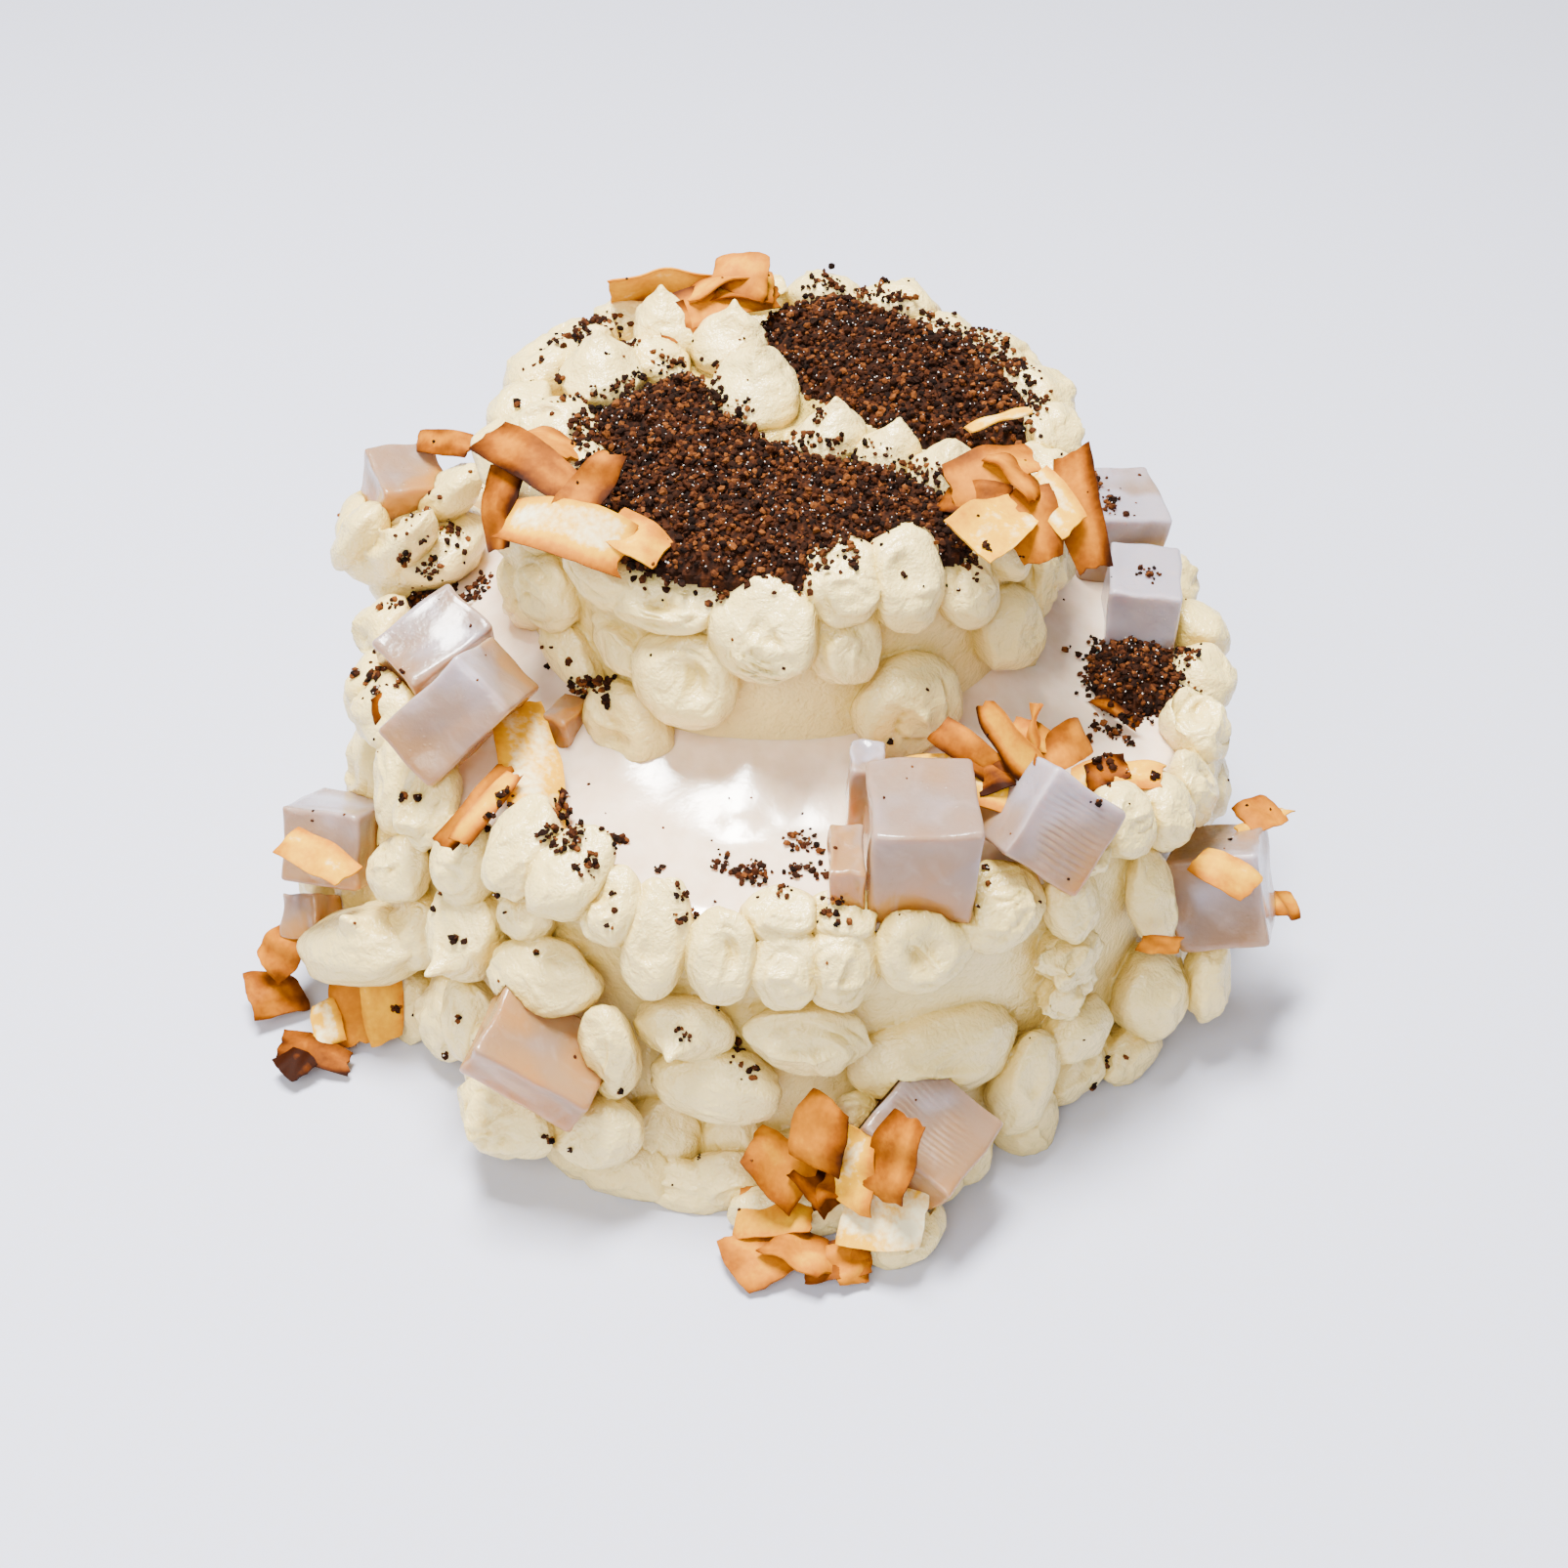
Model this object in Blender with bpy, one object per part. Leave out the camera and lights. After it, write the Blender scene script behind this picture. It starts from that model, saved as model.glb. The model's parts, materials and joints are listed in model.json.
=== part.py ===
"""A two-tier iced cake with piped kisses, jelly cubes, cookie crumbs and toasted coconut.

Blender works in metres.  The tables below are in millimetres and degrees, because that is
how a decorator would measure a cake.  Angles turn round a tier's own axis, seen from above:
270 is the front, 0 the right side, 90 the back and 180 the left side.  The cake stands on
z = 0 and the origin is the middle of the lower tier's underside.
"""

import math
import random

import bmesh
import bpy
from mathutils import Matrix, Vector, noise

MM = 0.001
GAP = 0.3
SEED = 11

# The coat of the two tiers, and the outline of each as (radius, height)
LOWER_CENTRE = (0, 0)
LOWER_RADIUS = 63.5
LOWER_TOP = 47
LOWER_OUTLINE = (
    (0, 0), (LOWER_RADIUS, 0), (LOWER_RADIUS + 1, 6), (LOWER_RADIUS, 16),
    (LOWER_RADIUS - 1, 30), (LOWER_RADIUS - 1, 41), (LOWER_RADIUS - 3, 46),
    (LOWER_RADIUS - 7, LOWER_TOP), (0, LOWER_TOP),
)
UPPER_CENTRE = (-2, 8)
UPPER_RADIUS = 38.5
UPPER_BASE = LOWER_TOP + GAP
UPPER_TOP = 82
UPPER_OUTLINE = (
    (0, UPPER_BASE), (UPPER_RADIUS, UPPER_BASE), (UPPER_RADIUS, 56), (UPPER_RADIUS, 68),
    (UPPER_RADIUS, 77), (UPPER_RADIUS - 2, 81), (UPPER_RADIUS - 6, UPPER_TOP), (0, UPPER_TOP),
)
COAT_STEPS = 40
LOWER_TRIANGLES = 4500
UPPER_TRIANGLES = 2450
COAT_LUMP = 0.8
COAT_LUMP_SPAN = 22
SHARP_ANGLE = 50

# Piped kisses: depth as a share of the smaller width, then the soft peak's height as a share
# of the depth, and how steeply it rises towards the tip
KISS_DEPTH = 0.86
KISS_PEAK = 0.1
PEAK_POWER = 6
KISS_SIDES = 10
KISS_RINGS = 7

# Toasted coconut flakes: the bow is a share of the length, the cup across and the swell in
# the middle are shares of the width
FLAKE_THICK = 1.0
FLAKE_STEPS = 3
FLAKE_BOW = 0.16
FLAKE_CUP = 0.12
FLAKE_ENDS = 0.8
FLAKE_SWELL = 0.4
FLAKE_TAPER = 0.2

# Jelly cubes and beds of crumbs
CUBE_EDGE = 0.9
BED_SIDES = 18
BED_RINGS = 7
BED_POWER = 0.7
BED_BELLY = 0.6
BED_BUMP = 0.45
BED_BUMP_SPAN = 3.1

# The block that clears what would hang below the floor, or below the upper tier
FAR = 120
DEEP = 20

# Linear colours of the three materials
CREAM_COLOUR = (0.87, 0.81, 0.66)
JELLY_COLOUR = (0.58, 0.43, 0.37)
CRUMB_COLOUR = (0.07, 0.03, 0.018)

# Each kiss: angle, height, reach from the tier's axis, width, length, turn, upward pitch
UPPER_FRONT_KISSES = (
    (198, 72, 39, 12, 16, 0, 10),
    (196, 59, 39, 12, 13, 0, 0),
    (207, 78, 38, 13, 12, 20, 35),
    (213, 68, 40, 15, 11, 0, 15),
    (222, 60, 40, 14, 8, -30, 0),
    (231, 77, 38, 16, 10, -12, 35),
    (239, 54, 41, 15, 12, -25, 0),
    (246, 76, 38, 17, 9, 8, 30),
    (251, 65, 40, 16, 15, 0, 10),
    (267, 75, 39, 16, 16, 0, 20),
    (283, 81, 37, 11, 12, 0, 35),
    (283, 73, 39, 11, 14, 0, 10),
    (297, 80, 38, 12, 15, 0, 25),
    (298, 59, 40, 17, 17, 0, 10),
    (312, 76, 38, 11, 14, 0, 25),
    (326, 78, 38, 11, 12, 0, 30),
    (325, 64, 40, 12, 16, 35, 5),
    (340, 66, 40, 10, 16, 0, 5),
    (337, 56, 39, 9, 13, 0, 0),
)
UPPER_TOP_KISSES = (
    (115, 84, 20, 12, 12, 0, 90),
    (130, 84, 7, 13, 12, 0, 90),
    (321, 83, 8, 12, 11, 0, 90),
    (330, 83, 17, 10, 10, 0, 90),
    (330, 83, 27, 11, 10, 0, 80),
    (330, 82, 35, 10, 10, 0, 65),
    (128, 84, 28, 12, 12, 0, 85),
    (142, 83, 24, 10, 10, 0, 90),
    (162, 84, 28, 14, 12, 0, 85),
    (188, 83, 33, 12, 13, 0, 75),
    (206, 83, 32, 10, 10, 0, 75),
)
LOWER_FRONT_KISSES = (
    (199, 50, 62, 11, 13, 0, 40),
    (207, 44, 63, 10, 17, 25, 25),
    (216, 47, 63, 10, 14, 15, 30),
    (225, 44, 64, 12, 14, 0, 20),
    (234, 51, 62, 10, 15, 0, 45),
    (236, 41, 64, 9, 10, 0, 10),
    (242, 51, 62, 11, 14, -15, 45),
    (248, 48, 63, 9, 11, 0, 35),
    (254, 45, 63, 10, 17, 0, 25),
    (262, 44, 64, 10, 14, 0, 20),
    (269, 49, 60, 11, 8, 0, 55),
    (270, 43, 64, 10, 12, 0, 15),
    (277, 49, 60, 10, 8, 0, 55),
    (277, 43, 64, 11, 13, 0, 15),
    (287, 44, 63, 14, 14, 10, 25),
    (297, 47, 62, 14, 12, 20, 35),
    (308, 44, 64, 9, 13, 0, 20),
    (311, 51, 61, 9, 11, 0, 45),
    (319, 50, 62, 11, 11, 0, 45),
    (327, 47, 64, 11, 12, 0, 30),
    (335, 45, 65, 9, 12, 0, 20),
)
WALL_FRONT_KISSES = (
    (213, 33, 67, 10, 11, 0, 30),
    (208, 17, 72, 20, 14, 50, 60),
    (227, 33, 66, 14, 15, 0, 5),
    (221, 9, 66, 12, 14, 0, 10),
    (258, 30, 65, 14, 10, 0, 0),
    (273, 30, 65, 17, 11, -8, 0),
    (262, 21, 66, 19, 11, 0, 0),
    (308, 34, 65, 11, 9, -10, 15),
    (309, 26, 65, 11, 8, 0, 5),
    (311, 17, 66, 13, 10, 0, 0),
    (323, 35, 66, 8, 17, 0, 15),
    (325, 14, 68, 14, 15, 0, 5),
    (331, 15, 74, 9, 15, -20, 5),
    (337, 23, 70, 12, 14, 0, 10),
)
BASE_FRONT_KISSES = (
    (246, 5, 67, 15, 12, 0, 10),
    (255, 6, 65, 12, 14, 0, 10),
    (264, 7, 64, 10, 14, 0, 10),
    (272, 5, 66, 14, 11, 0, 10),
    (283, 5, 72, 22, 11, 0, 15),
    (290, 5, 68, 16, 12, 0, 10),
    (303, 4, 66, 11, 12, 0, 10),
    (313, 6, 64, 16, 12, 0, 10),
    (322, 4, 68, 14, 10, 0, 10),
    (232, 5, 66, 13, 12, 0, 10),
    (212, 4, 67, 14, 11, 0, 10),
    (203, 4, 70, 15, 10, 0, 10),
)
# Lobes of cream that cup the cubes on the wall, and the two dollops on the left
CUP_KISSES = (
    (240, 34, 67, 18, 11, 10, 20),
    (235, 15, 70, 14, 14, -10, 0),
    (250, 27, 70, 9, 16, 5, 0),
    (247, 13, 71, 16, 9, 30, -10),
    (290, 21, 63, 26, 18, 0, 15),
    (302, 13, 67, 11, 18, -10, 0),
    (280, 13, 68, 9, 16, 20, 0),
    (272, 3, 73, 20, 9, 0, 20),
    (197, 16, 66, 18, 24, 0, 10),
    (193, 12, 74, 11, 16, 0, 5),
    (164, 54, 62, 20, 25, 0, 75),
    (169, 57, 68, 9, 14, 0, 30),
    (170, 58, 61, 10, 15, 0, 40),
    (162, 62, 56, 9, 15, 0, 40),
    (239, 13, 76, 16, 14, 0, 20),
    (249, 14, 73, 15, 11, 20, 10),
    (245, 4, 69, 13, 10, 0, 10),
    (252, 3, 70, 16, 10, 0, 15),
    (259, 2, 70, 16, 9, 0, 20),
    (264, 4, 69, 12, 9, 0, 15),
    (283, 4, 79, 13, 10, 20, 25),
    (214, 22, 66, 12, 13, 0, 10),
    (229, 19, 69, 9, 14, 10, 10),
)

# Rows that follow a rule round the back: first angle, last angle, count, height, reach,
# width, length, upward pitch
UPPER_BACK_ROWS = (
    (346, 549, 14, 81, 39, 13, 12, 50),
    (352, 540, 8, 66, 39, 12, 13, 5),
)
LOWER_BACK_ROWS = (
    (343, 551, 19, 48, 63, 12, 12, 40),
    (350, 549, 9, 31, 64, 14, 12, 5),
    (336, 552, 12, 7, 66, 15, 13, 10),
)
ROW_JITTER = 1.2
ROW_SIZE_JITTER = 0.14
ROW_TURN = 20

# Jelly cubes: middle x, y, z, edges a, b, c, then yaw, lean towards the viewer, and spin
JELLY_CUBES = (
    ("front_tall", 17.7, -52, 55.5, 14.6, 16, 16, 2, 0, 0),
    ("front_low", 7.8, -55, 51.6, 4.8, 10.6, 10.5, 0, 0, 0),
    ("front_slab", 10.6, -40.2, 54, 5, 7, 13, 0, 0, 0),
    ("front_ridged", 35, -46.4, 55, 13.5, 13, 13.5, 22, -24, 43),
    ("left_big", -46.5, -30, 58, 17, 15, 10.5, -13, -26, -51),
    ("left_high", -51.8, -12.6, 54.2, 14.5, 13, 11, -13, -66, -54),
    ("left_small", -32.2, -25, 51.2, 4.5, 6, 8, -30, 0, 0),
    ("cup_left", -33.7, -65.2, 25.6, 18, 8, 13, 60, -61, 75),
    ("cup_front", 19.8, -68.2, 13.4, 15.5, 14, 14, 28, -62, 61),
    ("cup_right", 65.8, -29.3, 26.8, 13.6, 14.5, 15, -17, -20, -19),
    ("side_left", -68, -22, 25.2, 12.5, 13, 12, -18, -27, -6),
    ("side_low", -72.3, -28, 14.4, 7, 7, 7, -36, -40, -28),
    ("dollop_left", -60.6, 20.4, 60.8, 11, 11, 9, 24, 10, 10),
    ("right_near", 54, 6, 53.5, 11, 14, 12, -6, 0, 0),
    ("right_far", 51, 24, 54.5, 13, 14, 14, 12, 4, 8),
    ("back_high", 12, 56, 54.5, 15, 14, 14, 30, 0, 0),
    ("back_low", -20, 55, 54, 14, 13, 13, -16, 0, 0),
    ("back_base", 32, 66, 13, 15, 15, 15, -26, 0, 0),
)

# Beds of cookie crumbs: middle x, y, underside, thickness, then the reach every 30 degrees
CRUMB_BEDS = (
    ("top_front", -5, -10, 81.6, 4.2, (25, 19, 14, 16, 33, 31, 26, 22, 22, 21, 20, 26)),
    ("top_back", 14, 24, 81.6, 4.2, (19, 15, 15, 18, 24, 23, 19, 15, 12, 18, 21, 24)),
    ("top_left", -34, 25, 81.6, 3.2, (5, 8, 11, 8, 5, 4, 4, 5, 8, 8, 6, 5)),
    ("ledge_right", 52, -7, 46.8, 4.0, (8, 6, 6, 6, 7, 7, 7, 8, 7, 8, 8, 8)),
    ("ledge_left", -55, 8, 46.8, 3.5, (5, 8, 8, 7, 7, 7, 6, 6, 7, 8, 6, 5)),
)

# Toasted coconut: both ends x, y, z, then width and the roll about the flake's length
UPPER_FLAKES = (
    (-46, -6, 88, -31, -17, 87, 6, 20),
    (-42, -1, 86, -34, -8, 86, 6, -20),
    (-40, -21, 84, -20, -27, 84, 7, 25),
    (-41, -11, 86, -42, -20, 78, 5, 70),
    (-31, -22, 86, -24, -17, 89, 5, 20),
    (-25, -22, 85, -18, -27, 84, 6, 10),
    (-29, 37, 87, -14, 37, 88, 8, -50),
    (-22, 27, 88, -3, 36, 88, 6, 20),
    (-17, 30, 90, -6, 36, 91, 5, -15),
    (-13, 36, 92, -5, 33, 91, 6, 30),
    (-21, 26, 87, -14, 30, 88, 5, 40),
    (21, -14, 87, 33, -8, 88, 7, 15),
    (20, -14, 85, 29, -17, 87, 5, 30),
    (23, -23, 85, 30, -18, 86, 7, 20),
    (31, -15, 88, 34, -22, 82, 7, 10),
    (37, -8, 88, 40, -21, 81, 5, 35),
    (33, -12, 88, 38, -20, 84, 5, 20),
)
LEDGE_FLAKES = (
    (45, -34, 46, 51, -32, 50, 5, 10),
    (46, -17, 46, 52, -23, 50, 3, 60),
    (-40, -35, 46, -37, -45, 50, 8, 10),
    (-47, -49, 50, -41, -40, 51, 4, 30),
)
BASE_FLAKES = (
    (7, -69, 22, 4, -74, 13, 8, 0),
    (-4, -69, 13, 5, -74, 8, 8, 0),
    (-6, -74, 4, 5, -74, 6, 7, 10),
    (-5, -76, 2, 0, -84, 3, 7, 10),
    (0, -78, 4, 7, -83, 3, 7, -15),
    (4, -81, 2, 12, -80, 4, 5, 15),
    (9, -78, 4, 11, -84, 2, 5, 0),
    (9, -76, 7, 19, -79, 9, 8, 30),
    (4, -74, 8, 9, -71, 9, 6, -20),
    (-79, -32, 3, -73, -36, 8, 6, 20),
    (-82, -33, 3, -73, -37, 4, 7, -10),
    (-66, -34, 8, -64, -42, 2, 7, 15),
    (-62, -35, 7, -60, -42, 3, 5, 0),
    (-75, -42, 2, -63, -43, 4, 5, 10),
    (52, -42, 27, 56, -46, 25, 4, 0),
    (70, -22, 29, 76, -19, 31, 4, 10),
)


def clear_scene():
    for item in list(bpy.data.objects):
        bpy.data.objects.remove(item)


def material(name, colour, roughness, transmission=0.0):
    finish = bpy.data.materials.new(name)
    finish.use_nodes = True
    shader = finish.node_tree.nodes["Principled BSDF"]
    shader.inputs["Base Color"].default_value = (*colour, 1.0)
    shader.inputs["Roughness"].default_value = roughness
    shader.inputs["Metallic"].default_value = 0.0
    shader.inputs["Transmission Weight"].default_value = transmission
    finish.diffuse_color = (*colour, 1.0)
    return finish


def make_object(name, bm, finish=None):
    """Turn a bmesh in millimetres into an object in metres."""
    bmesh.ops.scale(bm, vec=(MM, MM, MM), verts=bm.verts)
    mesh = bpy.data.meshes.new(name)
    bm.to_mesh(mesh)
    bm.free()
    item = bpy.data.objects.new(name, mesh)
    if finish:
        mesh.materials.append(finish)
    bpy.context.scene.collection.objects.link(item)
    return item


def around(centre, angle, reach, height):
    turn = math.radians(angle)
    x = centre[0] + reach * math.cos(turn)
    y = centre[1] + reach * math.sin(turn)
    return Vector((x, y, height))


def coat(name, centre, outline, lump_seed):
    """Turn an outline of (radius, height) round a tier's axis and make its wall uneven."""
    bm = bmesh.new()
    verts = [bm.verts.new((radius, 0, height)) for radius, height in outline]
    edges = [bm.edges.new(pair) for pair in zip(verts, verts[1:])]
    bmesh.ops.spin(bm, geom=verts + edges, cent=(0, 0, 0), axis=(0, 0, 1),
                   angle=math.tau, steps=COAT_STEPS, use_merge=True)
    bmesh.ops.remove_doubles(bm, verts=bm.verts, dist=0.01)
    low = outline[0][1]
    high = outline[-1][1]
    for vert in bm.verts:
        if low < vert.co.z < high:
            sample = vert.co / COAT_LUMP_SPAN + Vector((lump_seed, 0, 0))
            push = 1 + COAT_LUMP * noise.noise(sample) / max(vert.co.xy.length, 1)
            vert.co.x *= push
            vert.co.y *= push
    bmesh.ops.translate(bm, vec=(*centre, 0), verts=bm.verts)
    bmesh.ops.recalc_face_normals(bm, faces=bm.faces)
    return make_object(name, bm)


def kiss(name, centre, place):
    """One round piped kiss: a flattened ball with a soft peak, set on the coat."""
    angle, height, reach, width, length, turn, pitch = place
    bm = bmesh.new()
    bmesh.ops.create_uvsphere(bm, u_segments=KISS_SIDES, v_segments=KISS_RINGS, radius=0.5)
    for vert in bm.verts:
        rise = max(0.0, vert.co.z * 2)
        vert.co.z += KISS_PEAK * rise ** PEAK_POWER
    depth = KISS_DEPTH * min(width, length)
    out = Vector((math.cos(math.radians(angle)), math.sin(math.radians(angle)), 0))
    side = Vector((-out.y, out.x, 0))
    tilt = math.radians(pitch)
    facing = out * math.cos(tilt) + Vector((0, 0, math.sin(tilt)))
    top = facing.cross(side)
    frame = Matrix((side, top, facing)).transposed().to_4x4()
    spin = Matrix.Rotation(math.radians(turn), 4, "Z")
    size = Matrix.Diagonal((width, length, depth, 1))
    move = Matrix.Translation(around(centre, angle, reach, height))
    bmesh.ops.transform(bm, matrix=move @ frame @ spin @ size, verts=bm.verts)
    return make_object(name, bm)


def row_places(row, draw):
    """Places of the kisses of one row, a little uneven in place and size."""
    first, last, count, height, reach, width, length, pitch = row
    for index in range(count):
        angle = first + (last - first) * index / (count - 1)
        grow = 1 + draw.uniform(-ROW_SIZE_JITTER, ROW_SIZE_JITTER)
        yield (angle + draw.uniform(-ROW_JITTER, ROW_JITTER),
               height + draw.uniform(-ROW_JITTER, ROW_JITTER),
               reach + draw.uniform(-ROW_JITTER, ROW_JITTER) / 2,
               width * grow, length * grow, draw.uniform(-ROW_TURN, ROW_TURN), pitch)


def flake(name, ends):
    """One curled strip of coconut between two ends, thick enough to be a solid."""
    x1, y1, z1, x2, y2, z2, width, roll = ends
    first = Vector((x1, y1, z1))
    run = Vector((x2, y2, z2)) - first
    along = run.normalized()
    flat_side = Vector((0, 0, 1)).cross(along).normalized()
    across = Matrix.Rotation(math.radians(roll), 3, along) @ flat_side
    facing = along.cross(across)
    bm = bmesh.new()
    bmesh.ops.create_cube(bm, size=2)
    for step in range(1, FLAKE_STEPS):
        bmesh.ops.bisect_plane(bm, geom=bm.verts[:] + bm.edges[:] + bm.faces[:],
                               plane_co=(2 * step / FLAKE_STEPS - 1, 0, 0), plane_no=(1, 0, 0))
    for vert in bm.verts:
        share = (vert.co.x + 1) / 2
        middle = 4 * share * (1 - share)
        bow = FLAKE_BOW * run.length * (middle - 0.5)
        cup = -FLAKE_CUP * width * abs(vert.co.y)
        skin = FLAKE_THICK / 2 * vert.co.z
        reach = width / 2 * (FLAKE_ENDS + FLAKE_SWELL * middle - FLAKE_TAPER * share)
        vert.co = first + run * share + facing * (bow + cup + skin) + across * reach * vert.co.y
    bmesh.ops.recalc_face_normals(bm, faces=bm.faces)
    return make_object(name, bm)


def cube_matrix(place):
    x, y, z = place[1:4]
    yaw, lean, spin = place[7:10]
    turn = Matrix.Rotation(math.radians(yaw), 4, "Z")
    tip = Matrix.Rotation(math.radians(lean), 4, "X")
    roll = Matrix.Rotation(math.radians(spin), 4, "Y")
    return Matrix.Translation((x, y, z)) @ turn @ tip @ roll


def cube(name, place, grow=0.0, finish=None):
    """One cube of jelly with softened edges, or its cutter when it is grown by the gap."""
    edges = [size + 2 * grow for size in place[4:7]]
    bm = bmesh.new()
    bmesh.ops.create_cube(bm, size=1)
    bmesh.ops.scale(bm, vec=edges, verts=bm.verts)
    bmesh.ops.bevel(bm, geom=list(bm.edges), offset=CUBE_EDGE, offset_type="OFFSET",
                    affect="EDGES", segments=1, profile=0.5, material=-1)
    bmesh.ops.transform(bm, matrix=cube_matrix(place), verts=bm.verts)
    return make_object(name, bm, finish)


def bed_reach(reaches, angle):
    step = 360 / len(reaches)
    spot = (math.degrees(angle) % 360) / step
    low = int(spot)
    share = spot - low
    share = share * share * (3 - 2 * share)
    return reaches[low % len(reaches)] * (1 - share) + reaches[(low + 1) % len(reaches)] * share


def crumb_bed(name, place, grow=0.0, finish=None):
    """A low heap of crumbs: a flattened ball out to an uneven outline, with a bumpy top."""
    _, x, y, low, thick, reaches = place
    bm = bmesh.new()
    bmesh.ops.create_uvsphere(bm, u_segments=BED_SIDES, v_segments=BED_RINGS, radius=1)
    for vert in bm.verts:
        ball = vert.co.copy()
        angle = math.atan2(ball.y, ball.x)
        reach = ball.xy.length ** BED_POWER * (bed_reach(reaches, angle) + grow)
        spread = Vector((math.cos(angle) * reach, math.sin(angle) * reach))
        if ball.z > 0:
            sample = Vector((spread.x, spread.y, low)) / BED_BUMP_SPAN
            bump = 1 + BED_BUMP * noise.noise(sample)
            rise = thick * bump * ball.z ** BED_POWER + grow
        else:
            rise = BED_BELLY * ball.z - grow
        vert.co = Vector((x + spread.x, y + spread.y, low + rise))
    return make_object(name, bm, finish)


def box(name, low, high):
    bm = bmesh.new()
    bmesh.ops.create_cube(bm, size=1)
    bmesh.ops.scale(bm, vec=[b - a for a, b in zip(low, high)], verts=bm.verts)
    bmesh.ops.translate(bm, vec=[(a + b) / 2 for a, b in zip(low, high)], verts=bm.verts)
    return make_object(name, bm)


def combine(body, others, operation):
    """Join or cut a body with a collection of objects, apply it and remove the collection.

    The exact solver leaves edges with four faces where so many kisses meet, so this uses
    the manifold one, and every operand is a closed mesh.
    """
    group = bpy.data.collections.new("tools")
    for item in others:
        group.objects.link(item)
    step = body.modifiers.new(operation, "BOOLEAN")
    step.operation = operation
    step.solver = "MANIFOLD"
    step.operand_type = "COLLECTION"
    step.collection = group
    view = bpy.context.evaluated_depsgraph_get()
    result = bpy.data.meshes.new_from_object(body.evaluated_get(view))
    body.modifiers.clear()
    body.data = result
    for item in others:
        bpy.data.objects.remove(item)
    bpy.data.collections.remove(group)


def thin_out(body, triangles):
    """Bring a joined body down to about so many triangles."""
    body.data.calc_loop_triangles()
    step = body.modifiers.new("thin_out", "DECIMATE")
    step.ratio = min(1.0, triangles / len(body.data.loop_triangles))
    view = bpy.context.evaluated_depsgraph_get()
    result = bpy.data.meshes.new_from_object(body.evaluated_get(view))
    body.modifiers.clear()
    body.data = result


def keep_largest(body):
    """Drop loose scraps that the cuts leave."""
    bm = bmesh.new()
    bm.from_mesh(body.data)
    left = set(bm.faces)
    islands = []
    while left:
        start = [left.pop()]
        island = list(start)
        while start:
            face = start.pop()
            for edge in face.edges:
                for near in edge.link_faces:
                    if near in left:
                        left.remove(near)
                        start.append(near)
                        island.append(near)
        islands.append(island)
    islands.sort(key=len)
    for island in islands[:-1]:
        bmesh.ops.delete(bm, geom=island, context="FACES")
    bm.to_mesh(body.data)
    bm.free()


def tier(name, centre, outline, places, triangles, flakes, cutters, finish):
    """A tier with all that is fused to it, cleared round the pieces that lie on it."""
    body = coat(name, centre, outline, len(places))
    combine(body, [kiss("kiss", centre, place) for place in places], "UNION")
    thin_out(body, triangles)
    combine(body, [flake("flake", ends) for ends in flakes], "UNION")
    combine(body, cutters, "DIFFERENCE")
    keep_largest(body)
    body.data.materials.clear()
    body.data.materials.append(finish)
    body.data.shade_smooth()
    body.data.set_sharp_from_angle(angle=math.radians(SHARP_ANGLE))
    return body


def cutters(low, high):
    """The loose pieces, each larger by the gap, and a block between two heights."""
    cuts = [cube("cut", place, grow=GAP) for place in JELLY_CUBES]
    cuts += [crumb_bed("cut", place, grow=GAP) for place in CRUMB_BEDS]
    return cuts + [box("cut", (-FAR, -FAR, low), (FAR, FAR, high))]


def lower_tier(draw, cream):
    places = list(LOWER_FRONT_KISSES + WALL_FRONT_KISSES + BASE_FRONT_KISSES + CUP_KISSES)
    for row in LOWER_BACK_ROWS:
        places += row_places(row, draw)
    tier("lower_tier", LOWER_CENTRE, LOWER_OUTLINE, places, LOWER_TRIANGLES,
         LEDGE_FLAKES + BASE_FLAKES, cutters(-DEEP, 0), cream)


def upper_tier(draw, cream):
    places = list(UPPER_FRONT_KISSES + UPPER_TOP_KISSES)
    for row in UPPER_BACK_ROWS:
        places += row_places(row, draw)
    tier("upper_tier", UPPER_CENTRE, UPPER_OUTLINE, places, UPPER_TRIANGLES,
         UPPER_FLAKES, cutters(UPPER_BASE - DEEP, UPPER_BASE), cream)


def build():
    clear_scene()
    draw = random.Random(SEED)
    cream = material("whipped_cream", CREAM_COLOUR, 0.45)
    jelly = material("lilac_jelly", JELLY_COLOUR, 0.2, 0.3)
    crumb = material("cookie_crumb", CRUMB_COLOUR, 0.8)
    lower_tier(draw, cream)
    upper_tier(draw, cream)
    for place in JELLY_CUBES:
        cube("jelly_" + place[0], place, finish=jelly)
    for place in CRUMB_BEDS:
        crumb_bed("crumbs_" + place[0], place, finish=crumb)


build()
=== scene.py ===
"""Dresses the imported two-tier cake: piped cream, milk glaze, jelly, coconut and crumbs.

Places are in millimetres from the middle of the lower tier's underside, +Z up and -Y to the
front.  Angles turn round a tier's own axis seen from above, with 270 at the front.
"""

import json
import math
import random
from collections import namedtuple

import bmesh
import bpy
import numpy as np
from mathutils import Matrix, Vector, noise
from mathutils.bvhtree import BVHTree

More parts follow.
